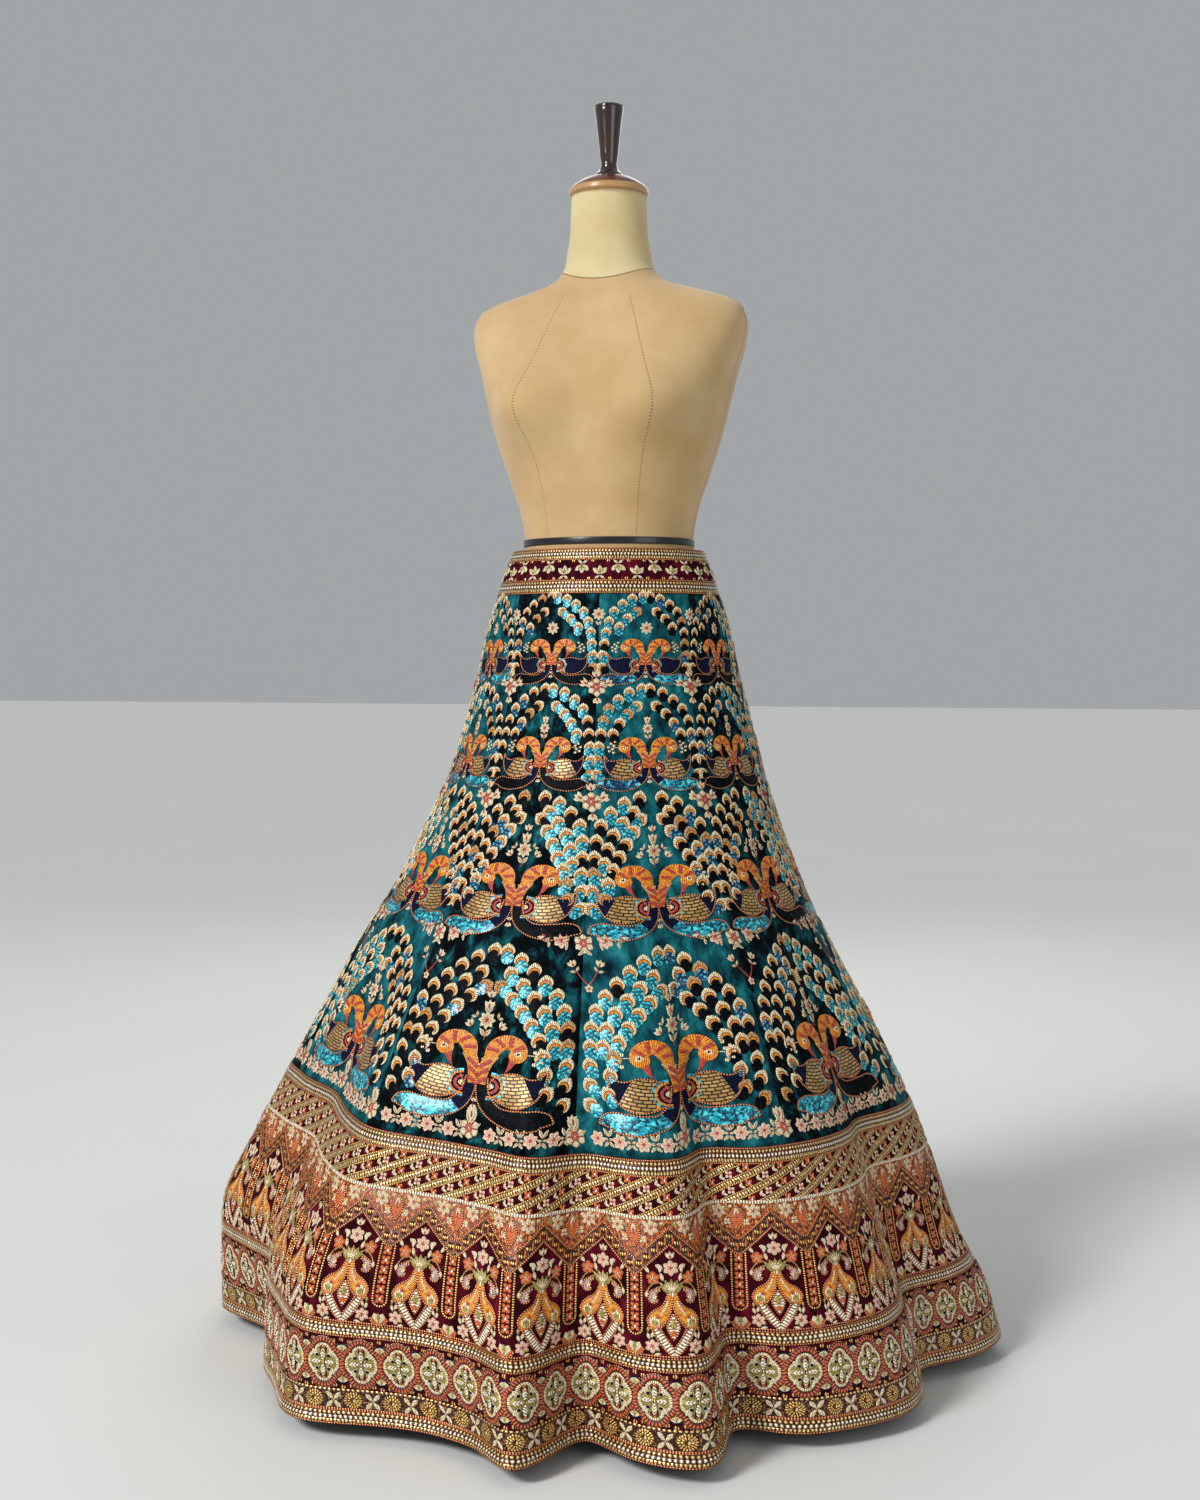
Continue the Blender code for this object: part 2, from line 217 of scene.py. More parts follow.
# ---- Dress form ---------------------------------------------------------------------------
# A papier-mache torso covered in stretched cream jersey, with princess seams, and a round
# neckline where the tan jersey of the body meets the paler cloth of the neck.

BODY_LEVELS = np.array((
    (0.735, 0.150, 0.100, 0.128, 2.2), (0.745, 0.160, 0.110, 0.138, 2.2),
    (0.790, 0.168, 0.117, 0.146, 2.2), (0.850, 0.168, 0.119, 0.141, 2.2),
    (0.910, 0.156, 0.115, 0.128, 2.15), (0.975, 0.137, 0.107, 0.110, 2.1),
    (1.020, 0.121, 0.101, 0.099, 2.05), (1.044, 0.115, 0.097, 0.094, 2.05),
    (1.053, 0.115, 0.097, 0.094, 2.05), (1.090, 0.121, 0.099, 0.098, 2.1),
    (1.140, 0.137, 0.106, 0.108, 2.2), (1.190, 0.152, 0.112, 0.117, 2.35),
    (1.235, 0.163, 0.112, 0.122, 2.5), (1.280, 0.174, 0.105, 0.122, 2.6),
    (1.320, 0.186, 0.090, 0.115, 2.6), (1.350, 0.187, 0.076, 0.104, 2.4),
    (1.371, 0.172, 0.066, 0.092, 2.1), (1.386, 0.126, 0.060, 0.080, 1.9),
    (1.397, 0.086, 0.056, 0.070, 1.9), (1.412, 0.066, 0.053, 0.062, 2.0),
    (1.440, 0.057, 0.051, 0.055, 2.0), (1.518, 0.0505, 0.048, 0.050, 2.0),
))  # height, half width, depth to the front and to the back, and squareness
BUST_HEIGHT, BUST_SPREAD = 1.225, 0.046
BUST_AZIMUTH, BUST_WIDTH, BUST_DEPTH = 36.0, 22.0, 0.030


def between(rows, column, height):
    """Reads a table's column at any height, on a cubic whose slopes are the table's own."""
    places, values = rows[:, 0], rows[:, column]
    slopes = np.gradient(values, places)
    height = np.clip(height, places[0], places[-1])
    below = np.clip(np.searchsorted(places, height) - 1, 0, len(rows) - 2)
    step = places[below + 1] - places[below]
    t = (height - places[below]) / step
    rise = t * t * (3 - 2 * t)
    return (
        values[below] * (1 - rise)
        + values[below + 1] * rise
        + slopes[below] * step * t * (1 - t) ** 2
        + slopes[below + 1] * step * t * t * (t - 1)
    )


def turn_to(azimuth, target):
    """The signed angle from the target to the azimuth, from -180 to 180 degrees."""
    return (azimuth - target + 180) % 360 - 180


def body_radius(azimuth, height):
    """A squared oval, (|sin|/width)^p + (|cos|/depth)^p = r^-p, with a bell for each breast."""
    angle = np.radians(azimuth)
    depth = np.where(
        np.cos(angle) > 0, between(BODY_LEVELS, 2, height), between(BODY_LEVELS, 3, height)
    )
    power = between(BODY_LEVELS, 4, height)
    side = np.abs(np.sin(angle) / between(BODY_LEVELS, 1, height)) ** power
    ahead = np.abs(np.cos(angle) / depth) ** power
    level = np.exp(-(((height - BUST_HEIGHT) / BUST_SPREAD) ** 2))
    left = np.exp(-((turn_to(azimuth, -BUST_AZIMUTH) / BUST_WIDTH) ** 2))
    right = np.exp(-((turn_to(azimuth, BUST_AZIMUTH) / BUST_WIDTH) ** 2))
    return (side + ahead) ** (-1 / power) + BUST_DEPTH * level * (left + right)


def round_points(azimuth, height, radius):
    """A point at an azimuth (0 is the front), a height and a distance from the axis."""
    angle = np.radians(azimuth)
    parts = np.broadcast_arrays(radius * np.sin(angle), -radius * np.cos(angle), height)
    return np.stack(parts, axis=-1)


def turned_skin(name, azimuth, height, radius, slots):
    """A closed skin: rings of points up the axis, each end closed flat from side to side."""
    rings = round_points(azimuth, height, radius)
    rows, columns = rings.shape[:2]
    pair = np.arange(columns // 2 - 1)
    cap = np.stack((pair, pair + 1, columns - 2 - pair, columns - 1 - pair), axis=-1)
    quads = (grid_quads(rows, columns, closed=True), cap[:, ::-1], cap + (rows - 1) * columns)
    return add_mesh(name, rings.reshape(-1, 3), np.concatenate(quads), slots)


jersey, jersey_tree, jersey_shader = new_finish(
    "stretched_jersey", Roughness=0.85, Sheen_Weight=0.25, Sheen_Roughness=0.5
)
# Cotton jersey pulled tight over the shell: a matt knit, tan on the body, where it has been
# handled, and cream on the neck above the neckline seam; the ribs are drawn 3 mm apart
NECKLINE = 1.398  # height of the neckline at the centre front
NECKLINE_RISE = 4.5  # how fast it climbs towards the shoulders: metres for each square metre
jersey_place = add_node(jersey_tree, "TexCoord").outputs["Object"]
jersey_axes = add_node(jersey_tree, "SeparateXYZ", {0: jersey_place}).outputs
aside = add_node(jersey_tree, "Math", {0: jersey_axes["X"], 1: jersey_axes["X"]}, operation="MULTIPLY")
seam_height = add_node(
    jersey_tree, "Math", {0: aside.outputs[0], 1: NECKLINE_RISE, 2: NECKLINE}, operation="MULTIPLY_ADD"
)
over_seam = add_node(
    jersey_tree, "Math", {0: jersey_axes["Z"], 1: seam_height.outputs[0]}, operation="SUBTRACT"
)
over_seam_scaled = add_node(
    jersey_tree, "Math", {0: over_seam.outputs[0], 1: 100.0, 2: 0.5}, operation="MULTIPLY_ADD"
)
jersey_parts = add_node(
    jersey_tree, "ValToRGB", {"Fac": over_seam_scaled.outputs[0]},
    stops=((0.36, "#C8A97B"), (0.44, "#7C6244"), (0.53, "#8A6F4C"), (0.60, "#DACBA0")),
)
jersey_soil = add_node(
    jersey_tree, "TexNoise", {"Vector": jersey_place, "Scale": 9.0, "Detail": 5.0, "Roughness": 0.6}
)
jersey_soil_tint = add_node(
    jersey_tree, "ValToRGB", {"Fac": jersey_soil.outputs["Fac"]},
    stops=((0.3, "#E9DFCB"), (0.7, "#FFFFFF")),
)
jersey_colour = add_node(
    jersey_tree, "Mix",
    {0: 1.0, 6: jersey_parts.outputs["Color"], 7: jersey_soil_tint.outputs["Color"]},
    data_type="RGBA", blend_type="MULTIPLY",
)
jersey_rib = add_node(
    jersey_tree, "TexWave", {"Vector": jersey_place, "Scale": 105.0, "Distortion": 0.6},
    bands_direction="DIAGONAL",
)
jersey_bump = add_node(
    jersey_tree, "Bump", {"Height": jersey_rib.outputs["Fac"], "Strength": 0.25, "Distance": 0.0004}
)
jersey_tree.links.new(jersey_colour.outputs[2], jersey_shader.inputs["Base Color"])
jersey_tree.links.new(jersey_bump.outputs["Normal"], jersey_shader.inputs["Normal"])

BODY_COLUMNS, BODY_ROWS = 120, 110
body_turn = np.linspace(0, 360, BODY_COLUMNS + 1)[None, :-1]
body_rise = np.linspace(BODY_LEVELS[0, 0], BODY_LEVELS[-1, 0], BODY_ROWS)[:, None]
torso = turned_skin("torso", body_turn, body_rise, body_radius(body_turn, body_rise), (jersey,))
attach(torso, "root")
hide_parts("form_body")


# ---- Princess seams -----------------------------------------------------------------------
# The jersey's panels are sewn together over the breasts, at the sides and down the middle of
# the back. Each seam is pressed open and shows as a low ridge 2 mm wide.

# Doubled jersey at a seam: the same knit, darker where the stitches pull it in every 4 mm
seam_cloth = textured(
    "sewn_jersey_seam", "TexWave", {"Scale": 78.0}, ((0.25, "#8F7450"), (0.6, "#BFA274")), Roughness=0.9
)
SEAM_AZIMUTHS = np.array((-90.0, -36.0, 36.0, 90.0, 144.0, 180.0, 216.0))
SEAM_HALF_WIDTH, SEAM_PROUD = 0.0011, 0.0006
ridge = np.array((-1.0, -0.4, 0.4, 1.0))
seam_rise = np.linspace(1.056, 1.375, 90)[None, :, None]
seam_turn = SEAM_AZIMUTHS[:, None, None] + np.degrees(ridge * SEAM_HALF_WIDTH / 0.13)
seam_out = body_radius(seam_turn, seam_rise) + SEAM_PROUD * (1 - np.abs(ridge)) * 1.5 - 0.0002
seam_points = round_points(seam_turn, seam_rise, seam_out)
seam_grid = grid_quads(seam_points.shape[1], len(ridge))
seam_starts = np.arange(len(SEAM_AZIMUTHS))[:, None, None] * seam_points.shape[1] * len(ridge)
princess_seams = add_mesh(
    "princess_seams", seam_points.reshape(-1, 3), (seam_grid + seam_starts).reshape(-1, 4), (seam_cloth,)
)
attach(princess_seams, "root")


# ---- Neck cap and finial ------------------------------------------------------------------
# A low dome of stained wood closes the neck, and a turned and lacquered finial stands on it
# as the handle. Both are turned on a lathe.

mahogany, mahogany_tree, mahogany_shader = new_finish(
    "stained_mahogany", Roughness=0.32, Coat_Weight=0.4, Coat_Roughness=0.15
)
# Stained and varnished wood: rings of grain round the axis, rubbed through to tan at the rim
mahogany_place = add_node(mahogany_tree, "TexCoord").outputs["Object"]
mahogany_grain = add_node(
    mahogany_tree, "TexNoise",
    {"Vector": mahogany_place, "Scale": 60.0, "Detail": 5.0, "Distortion": 1.2},
)
mahogany_stain = add_node(
    mahogany_tree, "ValToRGB", {"Fac": mahogany_grain.outputs["Fac"]},
    stops=((0.3, "#3B1A12"), (0.5, "#5A2A1C"), (0.72, "#7A4430")),
)
mahogany_axes = add_node(mahogany_tree, "SeparateXYZ", {0: mahogany_place}).outputs
mahogany_rim = add_node(
    mahogany_tree, "MapRange", {"Value": mahogany_axes["Z"], "From Min": 1.5265, "From Max": 1.5295}
)
mahogany_colour = add_node(
    mahogany_tree, "Mix",
    {0: mahogany_rim.outputs[0], 6: colour_of("#B58A5C"), 7: mahogany_stain.outputs["Color"]},
    data_type="RGBA",
)
mahogany_tree.links.new(mahogany_colour.outputs[2], mahogany_shader.inputs["Base Color"])

# Dark lacquer over turned wood: nearly black, with the red of the wood where it is thin
lacquer = textured(
    "lacquered_turned_wood", "TexNoise", {"Scale": 45.0, "Detail": 4.0},
    ((0.35, "#1B100D"), (0.7, "#3A1C14")), Roughness=0.16, Coat_Weight=0.8, Coat_Roughness=0.06,
)

CAP_RINGS = np.array((
    (0.0003, 0.0490), (0.0015, 0.0525), (0.0050, 0.0535), (0.0085, 0.0525),
    (0.0135, 0.0480), (0.0190, 0.0400), (0.0235, 0.0310), (0.0265, 0.0205),
))  # height above the neck, radius
FINIAL_RINGS = np.array((
    (0.0003, 0.0200), (0.0030, 0.0185), (0.0075, 0.0140), (0.0110, 0.0120), (0.0300, 0.0125),
    (0.0550, 0.0150), (0.0780, 0.0175), (0.0900, 0.0190), (0.0940, 0.0190), (0.0965, 0.0170),
    (0.0975, 0.0100),
))  # height above the cap, radius
turned_azimuth = np.linspace(0, 360, 73)[None, :-1]
foot_height = BODY_LEVELS[-1, 0]
for name, rings, wood, cad_node, slot_name in (
    ("neck_dome", CAP_RINGS, mahogany, "neck_cap", "cap_wood"),
    ("finial_handle", FINIAL_RINGS, lacquer, "finial", "finial_wood"),
):
    steps = np.linspace(0, len(rings) - 1, 7 * len(rings))
    rise = np.interp(steps, np.arange(len(rings)), rings[:, 0])[:, None]
    reach = between(rings, 1, rise)
    turned = turned_skin(name, turned_azimuth, foot_height + rise, reach, (wood,))
    turned.data.set_sharp_from_angle(angle=np.radians(40))
    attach(turned, "root")
    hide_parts(cad_node)
    foot_height += rings[-1, 0]


# ---- Waist tape ---------------------------------------------------------------------------
# A narrow glossy black tape marks the form's waist, pinned round it just over the skirt.

# Coated cotton tape: black and shiny, with its weave just showing as ribs 1.5 mm apart
tape = textured(
    "glossy_waist_tape", "TexWave", {"Scale": 210.0}, ((0.2, "#0B0B0D"), (0.8, "#1A1A1D")),
    (0.2, 0.0002), Roughness=0.28, Coat_Weight=0.3, Coat_Roughness=0.1,
)
TAPE_BOTTOM, TAPE_TOP, TAPE_WALL, TAPE_GAP = 1.044, 1.053, 0.0012, 0.0003
tape_across = np.array((0.0, 0.0, 0.12, 0.88, 1.0, 1.0))[:, None]
tape_out = np.array((0.0, 0.75, 1.0, 1.0, 0.75, 0.0))[:, None]
tape_height = TAPE_BOTTOM + (TAPE_TOP - TAPE_BOTTOM) * tape_across
tape_reach = body_radius(body_turn, tape_height) + TAPE_GAP + TAPE_WALL * tape_out
tape_rings = round_points(body_turn, tape_height, tape_reach)
tape_loop = np.concatenate((tape_rings, tape_rings[:1]))
tape_quads = grid_quads(len(tape_loop), BODY_COLUMNS, closed=True) % (BODY_COLUMNS * len(tape_rings))
waist_tape = add_mesh("waist_tape_band", tape_rings.reshape(-1, 3), tape_quads, (tape,))
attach(waist_tape, "root")
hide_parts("waist_tape")


# ---- Skirt cloth --------------------------------------------------------------------------
# Ten velvet gores, or kalis, are sewn into a flared skirt that hangs in soft folds from the
# waist, nap down. Every second one is painted lit, teal, as the velvet shows along its nap, and
# the next is the same velvet painted in shade, bottle green, as it shows against its nap.
# Below them runs a deep maroon velvet border, cut in ten lengths.

GORES = 10
FIRST_SEAM = 10.3
FRONT_AZIMUTH, SPREAD_REACH = 13.0, 35.0
BAND_TOP, BAND_BOTTOM, BORDER_TOP, HEM = 1.038, 0.978, 0.325, 0.020
SEAM_GAP, WALL = 0.0003, 0.002
SWAY_AZIMUTH, FOLD_FADE = -74.0, 1.35
LEVELS = np.array((
    (0.000, 0.488, 0.488, 0.000, 0.000, 0.0), (0.054, 0.484, 0.484, 0.006, 0.003, 0.0),
    (0.095, 0.479, 0.479, 0.012, 0.008, 0.5), (0.155, 0.466, 0.466, 0.026, 0.018, 1.0),
    (0.236, 0.435, 0.435, 0.018, 0.030, 2.0), (0.300, 0.410, 0.410, 0.012, 0.033, 2.5),
    (0.400, 0.367, 0.367, 0.010, 0.024, 3.0), (0.520, 0.310, 0.310, 0.014, 0.010, 3.5),
    (0.601, 0.268, 0.267, 0.011, 0.004, 4.0), (0.682, 0.234, 0.230, 0.007, 0.001, 4.5),
    (0.723, 0.218, 0.211, 0.004, 0.000, 5.0), (0.805, 0.194, 0.182, 0.001, 0.000, 6.5),
    (0.885, 0.174, 0.158, 0.001, 0.000, 9.0), (0.926, 0.166, 0.146, 0.001, 0.000, 13.0),
    (0.978, 0.151, 0.129, 0.001, 0.000, 20.0), (1.038, 0.129, 0.107, 0.001, 0.000, 20.0),
    (1.060, 0.119, 0.098, 0.000, 0.000, 20.0),
))  # height, half width, half depth, sway and lift to the left side, spread of the front gores
FOLDS = np.array((
    (-74, -66, 0.62, 0.034, 9, 6), (-58, -30, 0.78, -0.044, 9, 9), (-28, -22, 0.66, 0.040, 8, 8),
    (-10, -12, 0.50, -0.012, 8, 6), (5.2, 2, 0.52, 0.056, 5, 5), (12, 12, 0.62, -0.046, 5, 5),
    (27.5, 24, 0.60, 0.050, 9, 5), (34.5, 30.5, 0.80, -0.048, 4, 6), (58, 50, 0.55, 0.022, 12, 8),
    (74, 67, 0.74, -0.036, 6, 7), (93, 90, 0.58, 0.034, 10, 7), (108, 104, 0.66, -0.034, 6, 6),
    (122, 124, 0.60, 0.038, 8, 8), (139, 136, 0.72, -0.040, 7, 6), (152, 153, 0.52, 0.046, 6, 7),
    (168, 164, 0.64, -0.030, 8, 6), (183, 185, 0.58, 0.034, 9, 6), (197, 195, 0.76, -0.044, 6, 6),
    (210, 212, 0.55, 0.042, 7, 8), (228, 224, 0.60, -0.026, 8, 7), (245, 246, 0.66, 0.036, 9, 7),
    (260, 258, 0.70, -0.040, 6, 7), (273, 276, 0.56, 0.030, 7, 6),
))  # azimuth at the hem and at its top, top height, depth at the hem, reach left and right


def fold_relief(azimuth, height):
    """The sum of the folds: a bell exp(-(off/reach)^2) across each, fading from hem to top."""
    relief = np.zeros(np.broadcast(azimuth, height).shape)
    for at_hem, at_top, top, depth, left, right in FOLDS:
        fall = np.clip((top - height) / (top - HEM), 0, 1)
        off = turn_to(azimuth, at_top + (at_hem - at_top) * fall)
        bell = np.exp(-((off / np.where(off < 0, left, right)) ** 2))
        relief += depth * bell * fall**FOLD_FADE
    return relief


def skirt_point(azimuth, height):
    """An oval of the level's half width and half depth, pushed out by the folds and by sway."""
    angle = np.radians(azimuth)
    lean = np.cos(np.radians(azimuth - SWAY_AZIMUTH))
    out = fold_relief(azimuth, height) + between(LEVELS, 3, height) * lean
    x = (between(LEVELS, 1, height) + out) * np.sin(angle)
    y = -(between(LEVELS, 2, height) + out) * np.cos(angle)
    z = height + between(LEVELS, 4, height) * np.maximum(lean, 0) ** 2
    return np.stack(np.broadcast_arrays(x, y, z), axis=-1)


def skirt_normal(azimuth, height):
    """The cross product of the surface's two tangents, taken 0.05 degree and 0.5 mm each way."""
    along = skirt_point(azimuth + 0.05, height) - skirt_point(azimuth - 0.05, height)
    up = skirt_point(azimuth, height + 0.0005) - skirt_point(azimuth, height - 0.0005)
    normal = np.cross(along, up)
    return normal / np.linalg.norm(normal, axis=-1, keepdims=True)


def gore_azimuth(gore, height):
    """Even turns from the first seam, spread at the front by tanh(lead/reach) - lead/180."""
    even = FIRST_SEAM + 360 / GORES * gore
    lead = turn_to(even, FRONT_AZIMUTH)
    return even + between(LEVELS, 5, height) * (np.tanh(lead / SPREAD_REACH) - lead / 180)


# A place on the cloth is a gore number with its fraction across, and a height. The fractions
# are lengths of cloth, so a pattern keeps its size over a fold: at each level the cloth is
# measured from seam to seam, and the azimuths of 33 evenly spaced places are kept.
MARKS = 32
level_heights = np.linspace(0.014, 1.042, 200)
seams = gore_azimuth(np.arange(GORES)[None, :], level_heights[:, None])
next_seams = np.concatenate((seams[:, 1:], seams[:, :1] + 360), axis=1)
tries = seams[..., None] + (next_seams - seams)[..., None] * np.linspace(0, 1, 97)
steps = np.diff(skirt_point(tries, level_heights[:, None, None]), axis=2)
lengths = np.concatenate(
    (np.zeros(steps.shape[:2] + (1,)), np.cumsum(np.linalg.norm(steps, axis=-1), axis=2)), axis=2
)
gore_widths = lengths[..., -1]
wanted = np.linspace(0, 1, MARKS + 1)[:-1]
marks = np.empty(seams.shape + (MARKS,))
for level, gore in np.ndindex(seams.shape):
    measured = lengths[level, gore]
    marks[level, gore] = np.interp(wanted * measured[-1], measured, tries[level, gore])
marks = marks.reshape(len(level_heights), GORES * MARKS)


def cloth_azimuth(place, height):
    """The azimuth of a place across the gores, read from the marks in straight lines both ways."""
    turns = np.floor(place / GORES)
    column = (place - turns * GORES) * MARKS
    left = np.minimum(column.astype(int), GORES * MARKS - 1)
    right = (left + 1) % (GORES * MARKS)
    wrap = np.where(left + 1 == GORES * MARKS, 360.0, 0.0)
    row = (height - level_heights[0]) / (level_heights[1] - level_heights[0])
    low = np.clip(row.astype(int), 0, len(level_heights) - 2)
    azimuth = 0.0
    for level, weight in ((low, 1 - (row - low)), (low + 1, row - low)):
        here, there = marks[level, left], marks[level, right] + wrap
        azimuth = azimuth + weight * (here + (there - here) * (column - left))
    return azimuth + turns * 360


slope_heights = np.linspace(BAND_TOP, 0.01, 600)
slope_steps = np.hypot(np.diff(slope_heights), np.diff(between(LEVELS, 1, slope_heights)))
cloth_falls = np.concatenate(((0,), np.cumsum(slope_steps))) * 1000


def fall_of(height):
    """How many millimetres of cloth lie between the top of the waistband and a height."""
    return np.interp(-np.asarray(height), -slope_heights, cloth_falls)


def height_of(fall):
    """The height at which so many millimetres of cloth lie above."""
    return np.interp(fall, cloth_falls, slope_heights)


def wall_mesh(name, azimuth, height, outside, thickness, slots):
    """A wall on the skirt's surface, rows from the bottom up: a grid, its copy further in, a rim."""
    rows, columns = azimuth.shape
    points, normal = skirt_point(azimuth, height), skirt_normal(azimuth, height)
    outer = (points + normal * outside).reshape(-1, 3)
    inner = (points + normal * (outside - thickness)).reshape(-1, 3)
    face = grid_quads(rows, columns)
    index = np.arange(rows * columns).reshape(rows, columns)
    rim = np.concatenate((index[0, :-1], index[:-1, -1], index[-1, :0:-1], index[:0:-1, 0]))
    after = np.roll(rim, -1)
    count = rows * columns
    sides = np.stack((after, rim, rim + count, after + count), axis=-1)
    quads = np.concatenate((face, face[:, ::-1] + count, sides))
    return add_mesh(name, np.concatenate((outer, inner)), quads, slots)


def velvet(name, tones, sheen, glint):
    """Cut velvet: a short dense pile; its crushed streaks are painted sheen, lighter and darker patches in
    the base colour, and also its bump.
    """
    material, tree, shader = new_finish(
        name, Roughness=0.78, Sheen_Weight=sheen, Sheen_Roughness=0.32, Sheen_Tint=colour_of(glint),
        Specular_IOR_Level=0.05,
    )
    place = add_node(tree, "UVMap", uv_map="cloth").outputs["UV"]
    sway = add_node(tree, "TexNoise", {"Vector": place, "Scale": 0.018, "Detail": 2.0})
    bent = add_node(
        tree, "Mix", {0: 0.93, 6: sway.outputs["Color"], 7: place}, data_type="RGBA"
    )
    stretched = add_node(
        tree, "Mapping", {"Vector": bent.outputs[2], "Scale": (1.0, 0.6, 1.0)}
    )
    crush_and_painted_glint = add_node(
        tree, "TexNoise",
        {
            "Vector": stretched.outputs[0], "Scale": 0.05, "Detail": 5.0,
            "Roughness": 0.64, "Distortion": 0.3,
        },
    )
    # The crushed streaks paint sheen into the base colour: light patches as glints, dark ones as shade
    tint = add_node(tree, "ValToRGB", {"Fac": crush_and_painted_glint.outputs["Fac"]}, stops=tones)
    pile = add_node(tree, "TexNoise", {"Vector": place, "Scale": 0.9, "Detail": 2.0})
    height = add_node(
        tree, "Math", {0: crush_and_painted_glint.outputs["Fac"], 1: 3.0, 2: pile.outputs["Fac"]}, operation="MULTIPLY_ADD"
    )
    bump = add_node(
        tree, "Bump", {"Height": height.outputs[0], "Strength": 0.5, "Distance": 0.0012}
    )
    tree.links.new(tint.outputs["Color"], shader.inputs["Base Color"])
    tree.links.new(bump.outputs["Normal"], shader.inputs["Normal"])
    return material


# Teal silk velvet painted lit, as it shows along its nap, the same velvet painted in shade,
# bottle green, as it shows against it, and the border's maroon. The crushed patches, painted
# sheen, are about 20 mm wide and 35 mm long; the pile itself is drawn 1 mm coarse.
teal_velvet_painted_lit = velvet(
    "teal_silk_velvet_painted_lit",
    ((0.34, "#03181E"), (0.46, "#0C424B"), (0.57, "#166069"), (0.72, "#2F8A90")), 0.10, "#5FC4C4",
)
teal_velvet_painted_shade = velvet(
    "teal_silk_velvet_painted_shade",
    ((0.40, "#010406"), (0.50, "#031016"), (0.59, "#0C424A"), (0.70, "#22787F")), 0.03, "#3F9FA2",
)
maroon = velvet(
    "maroon_silk_velvet",
    ((0.34, "#1E0208"), (0.50, "#3A0512"), (0.60, "#560A1C"), (0.74, "#7E1A30")), 0.06, "#B8415F",
)


def gore_wall(name, gore, top, bottom, rows, columns, slots):
    """One gore's wall between two heights, with half a gap left at each seam."""
    height = np.linspace(bottom, top, rows)[:, None]
    margin = SEAM_GAP / 2 / np.interp(height, level_heights, gore_widths[:, gore])
    across = gore + margin + np.linspace(0, 1, columns)[None, :] * (1 - 2 * margin)
    heights = np.broadcast_to(height, across.shape)
    piece = wall_mesh(name, cloth_azimuth(across, heights), heights, 0.0, WALL, slots)
    width = np.interp(heights, level_heights, gore_widths[:, gore]) * 1000
    cloth = np.stack(((across - gore - 0.5) * width + gore * 700, -fall_of(heights)), axis=-1)
    add_uv(piece, "cloth", np.tile(cloth.reshape(-1, 2), (2, 1)))
    return piece


kalis, borders = [], []
for gore in range(GORES):
    # Every second kali takes the teal velvet painted lit, the next the same velvet painted in shade
    kali = gore_wall(
        f"kali_{gore + 1:02d}_velvet", gore, BAND_BOTTOM - SEAM_GAP, BORDER_TOP + SEAM_GAP, 52, 28,
        (teal_velvet_painted_lit if gore % 2 == 0 else teal_velvet_painted_shade,),
    )
    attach(kali, "root")
    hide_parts(f"kali_{gore + 1:02d}")
    kalis.append(kali)
    border = gore_wall(
        f"border_{gore + 1:02d}_velvet", gore, BORDER_TOP, HEM, 30, 48, (maroon,)
    )
    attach(border, "root")
    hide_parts(f"border_{gore + 1:02d}")
    borders.append(border)


# The waistband is a strip whose ends meet on the -X side, over a tab that lies beneath them
CLOSING_AZIMUTH, CLOSING_ANGLE, TAB_REACH, TAB_WALL = -102.0, 0.7, 12.0, 0.0015
TURN_LENGTH = 2.35  # mm of band to a degree
band_turn = CLOSING_AZIMUTH + np.linspace(CLOSING_ANGLE / 2, 360 - CLOSING_ANGLE / 2, 241)
band_rise = np.linspace(BAND_BOTTOM, BAND_TOP, 9)
band_azimuth, band_height = np.meshgrid(band_turn, band_rise)
band = wall_mesh("waistband_velvet", band_azimuth, band_height, 0.0, WALL, (maroon,))
band_cloth = np.stack((band_azimuth * TURN_LENGTH, -fall_of(band_height)), axis=-1)
add_uv(band, "cloth", np.tile(band_cloth.reshape(-1, 2), (2, 1)))
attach(band, "root")
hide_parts("waistband")
tab_azimuth, tab_height = np.meshgrid(
    CLOSING_AZIMUTH + np.linspace(-TAB_REACH, TAB_REACH, 13), band_rise
)
tab = wall_mesh("closing_tab_velvet", tab_azimuth, tab_height, -WALL - SEAM_GAP, TAB_WALL, (maroon,))
tab_cloth = np.stack((tab_azimuth * TURN_LENGTH, -fall_of(tab_height)), axis=-1)
add_uv(tab, "cloth", np.tile(tab_cloth.reshape(-1, 2), (2, 1)))
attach(tab, "root")
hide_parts("closing_tab")


# ---- Embroidery on the kalis --------------------------------------------------------------
# The velvet is worked by hand in a frame before the skirt is sewn: silk satin stitch, gilt
# basket work, couched bead cords and cut sequins. Each kali has four rows of paired peacocks
# with fans of feather eyes, and garlands along the seams.


SUNK = 0.15  # how deep a stitch's edge lies in the pile, in mm


def stitches(x, y, lift, along, across):
    """One grid of stitches: place and lift in mm, and the mm along and across its threads."""
    return np.stack(np.broadcast_arrays(x, y, lift, along, across), axis=-1)


def run_of(path):
    """How long a path is up to each of its points: the sum of its chords so far."""
    return np.concatenate(((0,), np.cumsum(np.hypot(*np.diff(path, axis=0).T))))


def points_at(stops, run, path):
    """The x and y of a path at so many mm of its run."""
    return (np.interp(stops, run, path[:, axis]) for axis in (0, 1))


def side_of(path):
    """A unit vector square to a path at each of its points, on its right hand."""
    ahead = np.gradient(path, axis=0)
    ahead /= np.hypot(ahead[:, :1], ahead[:, 1:]) + 1e-9
    return np.stack((ahead[:, 1], -ahead[:, 0]), axis=-1)


def curve(points, count):
    """An even path through points: a cubic in the length of its chords, slopes from neighbours."""
    points = np.array(points, dtype=float)
    table = np.column_stack((run_of(points), points))
    length = np.linspace(0, table[-1, 0], count)
    return np.stack((between(table, 1, length), between(table, 2, length)), axis=-1)


